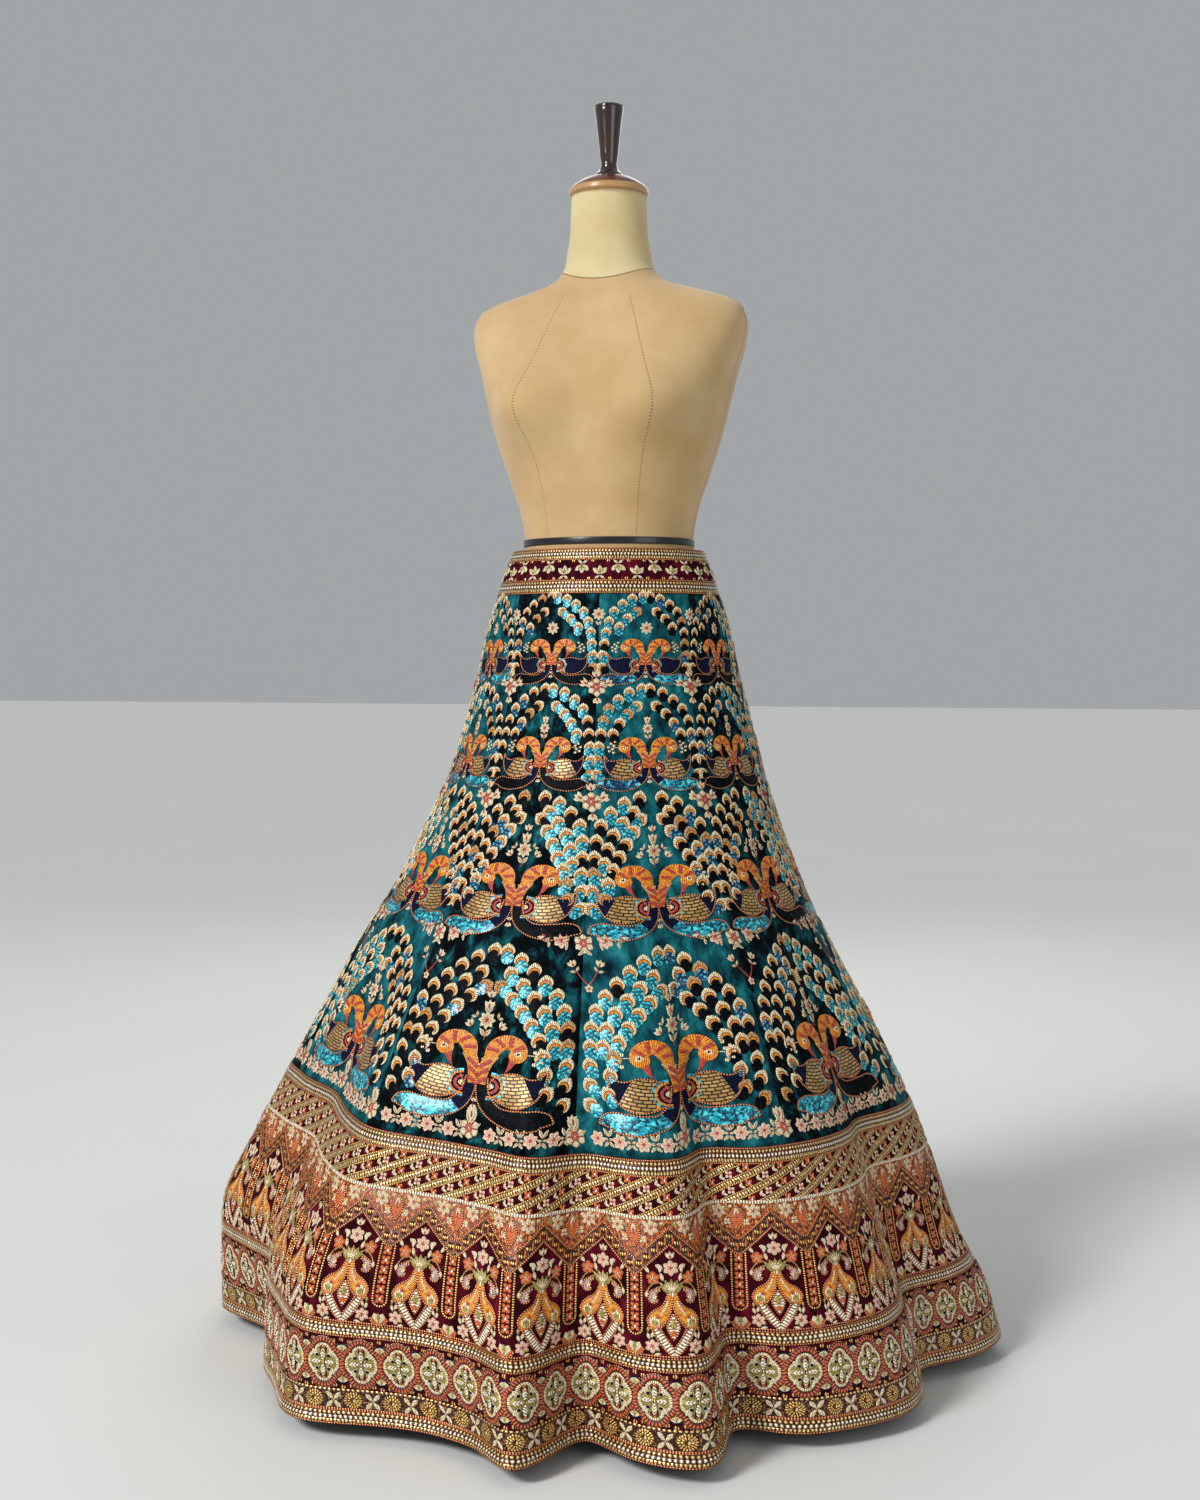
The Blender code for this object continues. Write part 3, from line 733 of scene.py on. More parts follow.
def band_along(path, half_width, crown, base=0.0):
    """A raised band: edge, ridge, edge at each point of a path, square to its direction."""
    across = np.array((-1.0, 0.0, 1.0))
    half = np.broadcast_to(half_width, len(path))[:, None] * across
    place = path[:, None] + side_of(path)[:, None] * half[..., None]
    along = run_of(path)[:, None]
    return stitches(place[..., 0], place[..., 1], base + crown * (1 - across**2) - SUNK, along, half)


def between_edges(first, second, crown, base=0.0, columns=3):
    """A raised patch between two paths of equal count; its lift is a parabola across."""
    part = np.linspace(0, 1, columns)[None, :, None]
    place = first[:, None] * (1 - part) + second[:, None] * part
    part = part[..., 0]
    along = run_of(first)[:, None]
    reach = np.hypot(*(second - first).T)[:, None]
    lift = base + crown * 4 * part * (1 - part) - SUNK
    return stitches(place[..., 0], place[..., 1], lift, along, (part - 0.5) * reach)


def spot(x, y, radius, crown, base=0.0, count=4, stretch=1.0):
    """A round dome: a square grid drawn to a disc by x*sqrt(1 - y^2/2), lift as 1 - r^2."""
    u, v = np.meshgrid(np.linspace(-1, 1, count), np.linspace(-1, 1, count))
    a, b = u * np.sqrt(1 - v * v / 2), v * np.sqrt(1 - u * u / 2)
    lift = base + crown * (1 - (a * a + b * b)) - SUNK
    return stitches(x + radius * a, y + radius * stretch * b, lift, radius * a, radius * b)


def arc_band(inner, outer, reach, crown, base=0.0, count=10):
    """A band round the origin between two radii given as functions of the angle from +y."""
    angle = np.radians(np.linspace(-reach, reach, count))
    heading = np.stack((np.sin(angle), np.cos(angle)), axis=-1)
    return between_edges(
        heading * inner(angle)[:, None], heading * outer(angle)[:, None], crown, base
    )


def leaf(length, width, crown=0.7, base=0.0, fullness=1.0, bend=0.0, count=5):
    """A leaf from the origin up +y: half width as sin(pi t^fullness), its midrib bent aside."""
    t = np.linspace(0, 1, count)[:, None]
    side = np.array((-1.0, 0.0, 1.0))
    half = width / 2 * np.sin(np.pi * t**fullness) * side
    x = half + bend * np.sin(np.pi / 2 * t)
    lift = base + crown * (1 - side**2) - SUNK
    return stitches(x, length * t, lift, length * t + np.abs(half), half)


def placed(motif, x, y, turn=0.0, size=1.0, mirror=1.0):
    """Copies a motif to many places: mirrored, turned anticlockwise in degrees, sized, moved."""
    given = np.broadcast_arrays(*map(np.atleast_1d, (x, y, turn, size, mirror)))
    x, y, turn, size, mirror = (part.reshape(-1, 1, 1, 1) for part in given)
    cosine, sine = np.cos(np.radians(turn)), np.sin(np.radians(turn))
    copies = []
    for grid, thread in motif:
        grid = grid.reshape(-1, *grid.shape[-3:])[None]
        wide, high = grid[..., 0] * mirror * size, grid[..., 1] * size
        moved = stitches(
            x + wide * cosine - high * sine, y + wide * sine + high * cosine,
            grid[..., 2] * size, grid[..., 3] * size, grid[..., 4] * size,
        )
        copies.append((moved.reshape(-1, *moved.shape[-3:]), thread))
    return copies


def recoloured(motif, **changes):
    """The same motif worked in other threads."""
    return [(grid, changes.get(thread, thread)) for grid, thread in motif]


def chain(motif, path_points, pitch):
    """Copies of a motif set along a path at a pitch, each turned with the path."""
    path = curve(path_points, 200)
    run = run_of(path)
    stops = np.arange(pitch / 2, run[-1], pitch)
    x, y = points_at(stops, run, path)
    east, north = points_at(stops, run, np.gradient(path, axis=0))
    return placed(motif, x, y, np.degrees(np.arctan2(north, east)))


# Threads: what each is, and the colours it runs between, from the painted shade in its hollows through its
# own colour to the painted highlight on its crowns
Thread = namedtuple("Thread", "kind dark middle light pitch roughness metallic")
THREADS = {
    "cream_silk": Thread("satin", "#866032", "#E4D09C", "#FFF9DC", 1.9, 0.42, 0.0),
    # The tan silk is the cream satin painted in shade, as if turned from the light
    "tan_silk": Thread("satin", "#5E3A1E", "#A8774A", "#E6C78C", 1.7, 0.42, 0.0),
    "saffron_silk": Thread("satin", "#94440A", "#DB7E16", "#FFB03A", 1.6, 0.40, 0.0),
    "rust_silk": Thread("satin", "#4C1B10", "#8E3A22", "#B85F38", 1.4, 0.50, 0.0),
    "red_silk": Thread("satin", "#6E1418", "#B0302C", "#D5584A", 1.4, 0.45, 0.0),
    "pink_silk": Thread("satin", "#A05C40", "#EAC29A", "#FFF0D8", 1.4, 0.45, 0.0),
    "orange_silk": Thread("satin", "#7A260E", "#C84E1E", "#F08A44", 1.4, 0.45, 0.0),
    "olive_zari": Thread("satin", "#57491A", "#94803A", "#D6C478", 1.3, 0.36, 0.35),
    "grey_pink_silk": Thread("satin", "#6F5450", "#A98C86", "#D3BDB4", 1.4, 0.45, 0.0),
    "navy_silk": Thread("satin", "#020208", "#080A1E", "#1A1F44", 1.6, 0.60, 0.0),
    "gold_basket": Thread("basket", "#150E0C", "#A67C42", "#C9A05E", 4.2, 0.38, 0.3),
    "copper_cord": Thread("bead", "#3E140A", "#B25830", "#EEA068", 2.6, 0.34, 0.5),
    "gold_cord": Thread("bead", "#46260E", "#BE8636", "#F8D07C", 2.6, 0.32, 0.6),
    "pearl_bead": Thread("bead", "#34140A", "#D6A868", "#FFFBEC", 4.8, 0.25, 0.1),
    "turquoise_sequin": Thread("sequin", "#04384C", "#0FA9BF", "#5FE6EA", 2.6, 0.30, 0.2),
    "blue_sequin": Thread("sequin", "#071E3C", "#155E86", "#6FD6EE", 2.9, 0.22, 0.25),
    "white_silk": Thread("satin", "#6E5232", "#DCCCA6", "#FFFCEE", 3.2, 0.38, 0.0),
    "orange_purl": Thread("bead", "#42100A", "#AE3D1B", "#E0733C", 3.2, 0.42, 0.1),
    "bugle_bead": Thread("bead", "#46200C", "#C4863A", "#FFE3A4", 4.6, 0.28, 0.6),
    "antique_zari": Thread("fleck", "#1E0508", "#4A1C12", "#C99A5C", 2.8, 0.36, 0.35),
    "spandrel_silk": Thread("fleck", "#4A1006", "#AE4814", "#E8A840", 4.0, 0.46, 0.1),
    "twisted_zari": Thread("satin", "#522A10", "#CE9846", "#FFF0BE", 3.6, 0.30, 0.6),
    # The black sequins stand for the turquoise ones painted in shade, and are the real black of the
    # peacock's eye
    "black_sequin": Thread("sequin", "#010204", "#04060A", "#101820", 2.6, 0.50, 0.0),
}


def thread_finish(name, thread):
    """A thread's material, its relief and tone worked out from the mm along and across it; the tone is
    painted from the relief, shade in the hollows and highlights on the crowns.
    """
    gloss = 0.3 if thread.kind == "satin" else 0.5
    if name in ("black_sequin", "navy_silk"):
        gloss = 0.05
    material, tree, shader = new_finish(
        name, Roughness=thread.roughness, Metallic=thread.metallic, Specular_IOR_Level=gloss
    )
    place = add_node(tree, "UVMap", uv_map="thread").outputs["UV"]
    axes = add_node(tree, "SeparateXYZ", {0: place}).outputs
    turns = 2 * np.pi / thread.pitch
    rows = add_node(tree, "Math", {0: axes["X"], 1: turns}, operation="MULTIPLY")
    wave = add_node(tree, "Math", {0: rows.outputs[0]}, operation="SINE")
    wander = add_node(tree, "TexNoise", {"Vector": place, "Scale": 0.35, "Detail": 3.0}).outputs["Fac"]
    if thread.kind == "satin":
        relief = add_node(tree, "Math", {0: wave.outputs[0], 1: 0.22, 2: wander}, operation="MULTIPLY_ADD")
    elif thread.kind == "bead":
        aside = add_node(tree, "Math", {0: axes["Y"], 1: axes["Y"]}, operation="MULTIPLY")
        round_off = add_node(
            tree, "Math", {0: aside.outputs[0], 1: -0.11, 2: wander}, operation="MULTIPLY_ADD"
        )
        relief = add_node(
            tree, "Math", {0: wave.outputs[0], 1: 0.40, 2: round_off.outputs[0]}, operation="MULTIPLY_ADD"
        )
    elif thread.kind == "fleck":
        painted_glint_flecks = add_node(
            tree, "TexNoise", {"Vector": place, "Scale": 1 / thread.pitch, "Detail": 2.0, "Roughness": 0.7}
        )
        relief = add_node(
            tree, "Math", {0: wave.outputs[0], 1: 0.02, 2: painted_glint_flecks.outputs["Fac"]}, operation="MULTIPLY_ADD"
        )
    elif thread.kind == "basket":
        weave = add_node(
            tree, "TexBrick",
            {
                "Vector": place, "Color1": (1.0, 1.0, 1.0, 1.0), "Color2": (0.55, 0.55, 0.55, 1.0),
                "Mortar": (0.0, 0.0, 0.0, 1.0), "Scale": 1.0, "Mortar Size": 0.85,
                "Mortar Smooth": 0.3, "Brick Width": 2.2 * thread.pitch, "Row Height": thread.pitch,
            },
        )
        relief = add_node(tree, "Math", {0: weave.outputs["Color"], 1: 0.75}, operation="MULTIPLY")
    else:
        discs = add_node(tree, "TexVoronoi", {"Vector": place, "Scale": 1 / thread.pitch})
        painted_glint_per_disc = add_node(tree, "SeparateColor", {0: discs.outputs["Color"]}).outputs[0]
        relief = add_node(
            tree, "Math", {0: discs.outputs["Distance"], 1: -0.35, 2: painted_glint_per_disc}, operation="MULTIPLY_ADD"
        )
    # The relief is painted into the colour: shade in the hollows between stitches, beads and sequins,
    # highlights on their crowns, and for sequins and flecked gilt a painted glint that changes from one to
    # the next
    stops = {
        "satin": (0.34, 0.53, 0.70), "bead": (0.24, 0.50, 0.72),
        "basket": (0.10, 0.42, 0.75), "sequin": (0.10, 0.45, 0.82), "fleck": (0.42, 0.55, 0.68),
    }[thread.kind]
    tint = add_node(
        tree, "ValToRGB", {"Fac": relief.outputs[0]},
        stops=tuple(zip(stops, (thread.dark, thread.middle, thread.light))),
    )
    bump = add_node(
        tree, "Bump", {"Height": relief.outputs[0], "Strength": 0.6, "Distance": 0.0006}
    )
    tree.links.new(tint.outputs["Color"], shader.inputs["Base Color"])
    tree.links.new(bump.outputs["Normal"], shader.inputs["Normal"])
    return material


threads = {name: thread_finish(name, thread) for name, thread in THREADS.items()}


def on_gore(gore, width_at):
    """The azimuth on a gore of x mm from its middle, at the drawn width for that fall."""
    return lambda x, fall: cloth_azimuth(gore + 0.5 + x / width_at(fall), height_of(fall))


def sew(name, motif, azimuth_of, top_fall, base_lift=0.35):
    """Lays a motif on the cloth: y is mm up from top_fall, and azimuth_of turns x to an azimuth."""
    used = sorted({thread for _, thread in motif})
    points, threading, quads, chosen = [], [], [], []
    count = 0
    for grid, thread in motif:
        grid = grid.reshape(-1, *grid.shape[-3:])
        copies, rows, columns = grid.shape[:3]
        edge_c = grid[:, :, 1:, :2] - grid[:, :, :-1, :2]
        edge_r = grid[:, 1:, :, :2] - grid[:, :-1, :, :2]
        edge_c, edge_r = edge_c[:, 1:], edge_r[:, :, 1:]
        turned = edge_c[..., 0] * edge_r[..., 1] - edge_c[..., 1] * edge_r[..., 0]
        wrong = turned.sum(axis=(1, 2)) < 0
        grid = np.where(wrong[:, None, None, None], grid[:, :, ::-1], grid)
        points.append(grid[..., :3].reshape(-1, 3))
        threading.append(grid[..., 3:].reshape(-1, 2))
        starts = count + np.arange(copies)[:, None, None] * rows * columns
        block = (grid_quads(rows, columns)[None] + starts).reshape(-1, 4)
        quads.append(block)
        chosen.append(np.full(len(block), used.index(thread)))
        count += copies * rows * columns
    points = np.concatenate(points)
    fall = top_fall - points[:, 1]
    height = height_of(fall)
    azimuth = azimuth_of(points[:, 0], fall)
    lift = (points[:, 2] + base_lift)[:, None] / 1000
    on_cloth = skirt_point(azimuth, height) + skirt_normal(azimuth, height) * lift
    slots = tuple(threads[thread] for thread in used)
    piece = add_mesh(name, on_cloth, np.concatenate(quads), slots, np.concatenate(chosen))
    spread = points[:, :2] - points[:, :2].min(axis=0)
    add_uv(piece, "OFBake", spread / spread.max(axis=0) * 0.996 + 0.002)
    add_uv(piece, "thread", np.concatenate(threading))
    return piece


# Feather eye: a sequined disc under a saffron crescent, a rust line and a pointed silk cap
EYE_WIDTH = 18.7
EYE_PITCH = 1.09  # from eye to eye along an arc, in widths


def feather_eye(disc, cap):
    """A feather eye of the full size with its tip up +y, its disc at the origin."""
    crescent = lambda angle: 6.3 + 2.2 * np.maximum(np.cos(angle), 0) ** 1.6
    tip = lambda angle: 2.4 * np.exp(-((np.degrees(angle) / 22) ** 2))
    fade = lambda angle: np.clip((96 - np.abs(np.degrees(angle))) / 40, 0, 1) ** 0.7
    return [
        (spot(0, -2.6, 8.0, 1.1), disc),
        (arc_band(lambda a: 5.6 + 0 * a, crescent, 80, 0.9, 0.5, 8), "saffron_silk"),
        (arc_band(crescent, lambda a: crescent(a) + 0.9 * fade(a), 92, 0.4, 0.9, 7), "rust_silk"),
        (
            arc_band(
                lambda a: crescent(a) + 0.7 * fade(a),
                lambda a: crescent(a) + 3.8 * fade(a) + tip(a), 96, 1.4, 0.8, 9,
            ),
            cap,
        ),
    ]


# Flowers are worked in cream and pink satin with red strokes from the middle


def small_flower(petals=8, size=6.0, petal="cream_silk", heart="red_silk"):
    """A ring of petals of the given size round a raised heart."""
    turns = np.arange(petals) * 360 / petals
    one = [(leaf(size, size * 4.0 / petals, 0.8, 0.2, 1.35), petal)]
    strokes = [(leaf(size * 0.62, size * 0.10, 0.3, 0.9, 0.9, count=4), heart)]
    return (
        placed(one, 0, 0, turns)
        + placed(strokes, 0, 0, turns)
        + [(spot(0, 0, size * 0.14, 0.7, 0.9, 4), heart)]
    )


def leaf_pair(length=7.5, width=3.2, spread=38.0):
    """Two cream leaves with rust midribs, leaning out to either side of +y."""
    one = [
        (leaf(length, width, 0.7, 0.1, 0.9), "cream_silk"),
        (leaf(length * 0.8, width * 0.22, 0.3, 0.7, 0.9, count=4), "rust_silk"),
    ]
    return placed(one, 0, 0, (-spread, spread))


def bud(size=6.0):
    """A closed bud: three cream lobes round a red heart, tip up."""
    return (
        placed([(leaf(size, size * 0.5, 0.7, 0.2, 1.1), "cream_silk")], 0, 0, (-34.0, 0.0, 34.0))
        + placed([(leaf(size * 0.55, size * 0.3, 0.5, 0.9, 1.0, count=4), "red_silk")], 0, 0, 0.0)
    )


def rose(size=9.0):
    """A garden rose: five broad cream petals, a ring of pink ones and a red spiral heart."""
    turns = np.arange(6) * 60.0
    spiral_turn = np.linspace(0, 4.2 * np.pi, 26)
    spiral = np.stack((np.sin(spiral_turn), np.cos(spiral_turn)), axis=-1)
    spiral *= (size * (0.06 + 0.36 * spiral_turn / spiral_turn[-1]))[:, None]
    return (
        placed([(leaf(size, size * 0.8, 1.0, 0.0, 1.35), "cream_silk")], 0, 0, turns)
        + placed([(leaf(size * 0.9, size * 0.14, 0.3, 0.9, 0.9, count=4), "rust_silk")], 0, 0, turns + 30)
        + [(spot(0, 0, size * 0.5, 0.9, 0.6, 5), "pink_silk")]
        + [(band_along(spiral, size * 0.07, 0.7, 1.3), "red_silk")]
    )


def spray(buds=True):
    """An upright spray: a flower over a pair of leaves, a stem, and buds at its sides and top."""
    stem = [(band_along(curve(((0, -16), (0.6, -8), (0, 0)), 7), 0.6, 0.5), "rust_silk")]
    made = stem + placed(leaf_pair(8.0, 3.6), 0, -13) + small_flower(8, 7.5)
    made += placed(leaf_pair(6.5, 3.0, 32), 0, 6) + placed(bud(7.5), 0, 9)
    if buds:
        made += placed(bud(6.5), 0, 18) + placed(bud(6.5), (-12.0, 12.0), (-6.0, -6.0), (40.0, -40.0))
        made += placed(leaf_pair(5.0, 2.4, 44), (-9.0, 9.0), (2.0, 2.0), (45.0, -45.0))
    return made


def peacock(tail, chest):
    """One peacock facing out to +x, from the panel's middle line; y from the belly's underside."""
    belly = curve(((7.5, 54), (8, 42), (13, 27), (26, 14), (43, 10), (58, 11), (71, 14), (82, 10)), 30)
    belly_half = np.interp(
        np.linspace(0, 1, 30),
        (0, 0.2, 0.45, 0.68, 0.84, 0.94, 1.0), (5.5, 7.0, 8.6, 11.8, 11.0, 6.4, 0.2),
    )
    body = band_along(belly, belly_half, 1.4)
    neck = curve(((5.5, 46), (6.0, 58), (8.5, 71), (14.5, 83)), 12)
    hook = curve(((11.5, 78), (15.0, 91), (23.0, 99), (32.5, 98.5), (39.0, 91), (39.5, 82)), 16)
    hook_half = np.interp(np.linspace(0, 1, 16), (0, 0.25, 0.7, 1.0), (6.4, 8.6, 8.4, 7.4))
    wing_base, wing_top = (14.0, 44.0), (69.0, 71.0)
    wing_low = curve((wing_base, (18, 33), (29, 27), (47, 24), (60, 32), (67, 46), wing_top), 24)
    wing_high = curve((wing_base, (20, 56), (30, 62), (43, 63), (54, 59), (61, 60), wing_top), 24)
    wing_chest = between_edges(wing_low[:8], wing_high[:8], 1.0, 0.2, 4)
    wing_basket = between_edges(wing_low[6:15], wing_high[6:15], 1.1, 0.3, 7)
    wing_navy = between_edges(wing_low[14:20], wing_high[14:20], 1.0, 0.3, 5)
    wing_tip = between_edges(wing_low[19:], wing_high[19:], 0.9, 0.3, 4)
    outline = lambda path: (band_along(path, 0.85, 0.9, 1.0), "copper_cord")
    flank = side_of(belly) * belly_half[:, None]
    arcs = []
    turn = np.radians(np.linspace(-96, 88, 12))
    for reach, thread in (
        (15.5, "turquoise_sequin"), (13.2, "saffron_silk"), (10.6, "navy_silk"),
        (8.0, "red_silk"), (5.2, "navy_silk"),
    ):
        ring = np.stack((15.5 + reach * np.cos(turn), 45 + reach * np.sin(turn)), axis=-1)
        arcs.append((band_along(ring, 1.5, 0.6, 1.0), thread))
    stripes = []
    for place in (1, 4, 7):
        here = neck[place]
        slant = np.array((here + (-5.6, -5), here + (0.0, 0.5), here + (5.6, 4)))
        stripes.append((band_along(slant, 2.1, 0.6, 2.3), "red_silk"))
    for place in (3, 6, 9, 12):
        here, after = hook[place], hook[place + 1]
        ahead_here = (after - here) / np.hypot(*(after - here))
        side_here = np.array((ahead_here[1], -ahead_here[0]))
        slant = np.array(
            (here - side_here * 6 - ahead_here * 2.2, here, here + side_here * 5 + ahead_here * 2.0)
        )
        stripes.append((band_along(slant, 2.0, 0.6, 2.6), "red_silk"))
    beak_top = curve(((30.5, 82), (30.5, 74), (28.0, 62)), 6)
    beak_low = curve(((38, 77), (34.5, 70), (28.0, 62)), 6)
    beads = lambda path, pitch: chain([(spot(0, 0, 0.95, 1.1, 1.6, 3), "pearl_bead")], path, pitch)
    crest = np.array(((52, 99), (58, 95), (54, 91), (62, 88), (56, 84), (61, 80), (55, 77)))
    return (
        [(body[:12], chest), (body[11:], tail)]
        + [(wing_chest, "saffron_silk"), (wing_basket, "gold_basket")]
        + [(wing_navy, "navy_silk"), (wing_tip, tail)]
        + [(spot(19, 45, 5.0, 0.8, 0.6, 5), "cream_silk")]
        + arcs
        + [outline(wing_low), outline(wing_high)]
        + [(band_along(neck, np.linspace(5.6, 6.8, 12), 1.6, 0.6), "saffron_silk")]
        + [(band_along(hook, hook_half, 1.7, 0.8), "saffron_silk")]
        + stripes
        + [outline(belly - flank), outline(belly + flank)]
        + [(spot(38.0, 84.5, 8.6, 1.6, 1.2, 5), "saffron_silk")]
        + [(spot(39.0, 86, 3.6, 0.9, 2.4, 4), "cream_silk")]
        + [(spot(39.0, 86, 1.7, 0.8, 3.0, 3), "black_sequin")]
        + [(between_edges(beak_top, beak_low, 1.0, 0.8), "red_silk")]
        + beads(((0.5, 70), (7, 66), (15, 72)), 2.6)
        + beads(((2.5, 77), (9.5, 73), (19, 79)), 2.6)
        + beads(hook, 2.8)
        + placed([(spot(0, 0, 2.3, 1.5, 0.2, 4), "cream_silk")], crest[:, 0], crest[:, 1])
        + [(band_along(curve(((47, 87), (53, 87), (59, 85)), 6), 0.5, 0.4), "cream_silk")]
    )


def bird_pair(left_tail, right_tail, left_chest, right_chest):
    """Two peacocks back to back across the panel's middle line, with a bud hanging between them."""
    pair = placed(peacock(right_tail, right_chest), 0, 0, mirror=1.2)
    pair += placed(peacock(left_tail, left_chest), 0, 0, mirror=-1.2)
    for grid, _ in pair:
        side, off = np.sign(grid[..., 0]), np.abs(grid[..., 0]) - 26
        grid[..., 0] += 0.12 * (side * np.maximum(off, 0)) - 0.10 * side * np.clip(-off, 0, 14)
    drop = placed(bud(8.0), 0, 22, 180.0) + placed(bud(6.0), 0, 24)
    return pair + drop


# How wide a kali is drawn at each level: the two front ones' mean, in mm of cloth
drawn_widths = gore_widths[:, (0, GORES - 1)].mean(axis=1) * 1000


def kali_width(fall):
    """The drawn width of a kali so many mm of cloth below the waistband's top."""
    return np.interp(height_of(fall), level_heights, drawn_widths)


KALI_TOP_FALL = float(fall_of(BAND_BOTTOM))


def row_place(across, down, top, bottom):
    """Turns fractions of a row (across from -1 to 1, down from 0 to 1) to mm on the panel."""
    fall = fall_of(top) + (fall_of(bottom) - fall_of(top)) * np.asarray(down)
    return np.asarray(across) * kali_width(fall) / 2, KALI_TOP_FALL - fall


# A row: its levels, the eye's width in mm, the bird's size, the fans' outer and inner edge as
# fractions of the half panel and of the row, and how far each arc of eyes runs, outermost first
Row = namedtuple("Row", "top bottom eye bird outer inner ends")
ROWS = (
    Row(
        0.976, 0.862, 14.0, 0.54,
        ((0.07, 0.04), (0.27, 0.07), (0.48, 0.13), (0.68, 0.22), (0.79, 0.34), (0.85, 0.47),
         (0.87, 0.6), (0.88, 0.72), (0.87, 0.84)),
        ((0.15, 0.18), (0.33, 0.25), (0.50, 0.34), (0.62, 0.46)), (1.0, 1.0),
    ),
    Row(
        0.857, 0.730, 15.4, 0.63,
        ((0.09, 0.04), (0.32, 0.07), (0.54, 0.14), (0.75, 0.24), (0.86, 0.37), (0.89, 0.5),
         (0.91, 0.62), (0.92, 0.75), (0.9, 0.87)),
        ((0.13, 0.17), (0.30, 0.22), (0.46, 0.31), (0.60, 0.42), (0.68, 0.54)), (1.0, 1.0),
    ),
    Row(
        0.7215, 0.556, 18.6, 0.87,
        ((0.2, 0.03), (0.42, 0.06), (0.62, 0.12), (0.8, 0.2), (0.88, 0.31), (0.9, 0.43),
         (0.9, 0.55), (0.9, 0.68), (0.89, 0.8)),
        ((0.24, 0.17), (0.34, 0.25), (0.44, 0.33), (0.54, 0.42), (0.63, 0.51), (0.69, 0.62), (0.71, 0.74)),
        (1.0, 0.72, 1.0),
    ),
    Row(
        0.545, 0.349, 19.8, 1.0,
        ((0.09, 0.05), (0.26, 0.09), (0.42, 0.14), (0.56, 0.20), (0.70, 0.27), (0.81, 0.35),
         (0.87, 0.45), (0.88, 0.56), (0.87, 0.68), (0.85, 0.79), (0.84, 0.88)),
        ((0.13, 0.25), (0.27, 0.31), (0.40, 0.38), (0.52, 0.46), (0.62, 0.55), (0.67, 0.68), (0.68, 0.82)),
        (1.0, 0.74, 1.0),
    ),
)


def fan_of(row):
    """Places of the feather eyes of one half panel: arcs between the outer and the inner edge."""
    found = []
    outer = np.stack(row_place(*np.array(row.outer).T, row.top, row.bottom), axis=-1)
    inner = np.stack(row_place(*np.array(row.inner).T, row.top, row.bottom), axis=-1)
    outer, inner = curve(outer, 60), curve(inner, 60)
    for arc, end in enumerate(row.ends):
        part = arc / (len(row.ends) - 1)
        path = outer * (1 - part) + inner * part
        path = path[: int(60 * end)]
        run = run_of(path)
        number = max(int(round(run[-1] / (row.eye * EYE_PITCH))), 1)
        stops = (np.arange(number + 1 - arc % 2) + 0.5 * (arc % 2)) * run[-1] / number
        along = stops / run[-1] * end
        x, y = points_at(stops, run, path)
        lean = 6 + 52 * part * np.clip(1 - along, 0.25, 1) - 52 * np.clip((along - 0.72) / 0.28, 0, 1)
        found.append(np.stack((x, y, lean), axis=-1))
    return np.concatenate(found)


rng = np.random.default_rng(47)


def kali_motif(gore):
    """All the embroidery of one kali, from its lowest layer to its highest."""
    even = gore % 2 == 0
    # The discs are lit and shaded copies of the same sequins: one half of each kali is painted lit,
    # turquoise, the other painted in shade, black, the sides swapping from kali to kali. The black tails
    # and chests below are the same sequins painted in shade.
    discs = ("turquoise_sequin", "black_sequin")
    left_disc, right_disc = discs if even else discs[::-1]
    made = []
    for number, row in enumerate(ROWS):
        fan = fan_of(row)
        fan = fan[np.argsort(-fan[:, 1])]
        for side, disc in ((-1.0, left_disc), (1.0, right_disc)):
            # About one eye in six has its cap in the tan silk: the cream satin painted in shade
            cap_painted_shade = np.where(rng.random(len(fan)) < 0.16, 1, 0)
            # About one eye in five has its disc painted the other way: a lit one in shade, black, and a
            # shaded one half lit, blue
            disc_light_swapped = rng.random(len(fan)) < 0.18
            other = "blue_sequin" if disc == "black_sequin" else "black_sequin"
            for tan, cap in ((0, "cream_silk"), (1, "tan_silk")):
                for swap, disc_now in ((False, disc), (True, other)):
                    here = fan[(cap_painted_shade == tan) & (disc_light_swapped == swap)]
                    if len(here) == 0:
                        continue
                    made += placed(
                        feather_eye(disc_now, cap), side * here[:, 0], here[:, 1],
                        side * here[:, 2] + rng.uniform(-5, 5, len(here)), row.eye / EYE_WIDTH,
                    )
        _, foot = row_place(0, 1.0, row.top, row.bottom)
        left_tail = "turquoise_sequin"
        if number < 2:
            left_tail = "blue_sequin" if even else "black_sequin"
        tails = (left_tail, "turquoise_sequin" if even else "black_sequin")
        chests = ("navy_silk", "navy_silk") if even else ("navy_silk", "black_sequin")
        birds = bird_pair(*tails, *chests)
        if number == 0:
            birds = recoloured(birds, gold_basket="navy_silk")
        made += placed(birds, 0, float(foot), 0.0, row.bird)
        heart, level = row_place(0, (0.38, 0.40, 0.38, 0.43)[number], row.top, row.bottom)
        if number == 0:
            made += placed(small_flower(8, 8.6), 0, float(level))
        else:
            size = (0.0, 1.0, 1.35, 1.55)[number]
            made += placed(spray(number > 1), 0, float(level), 0.0, size)
    return made


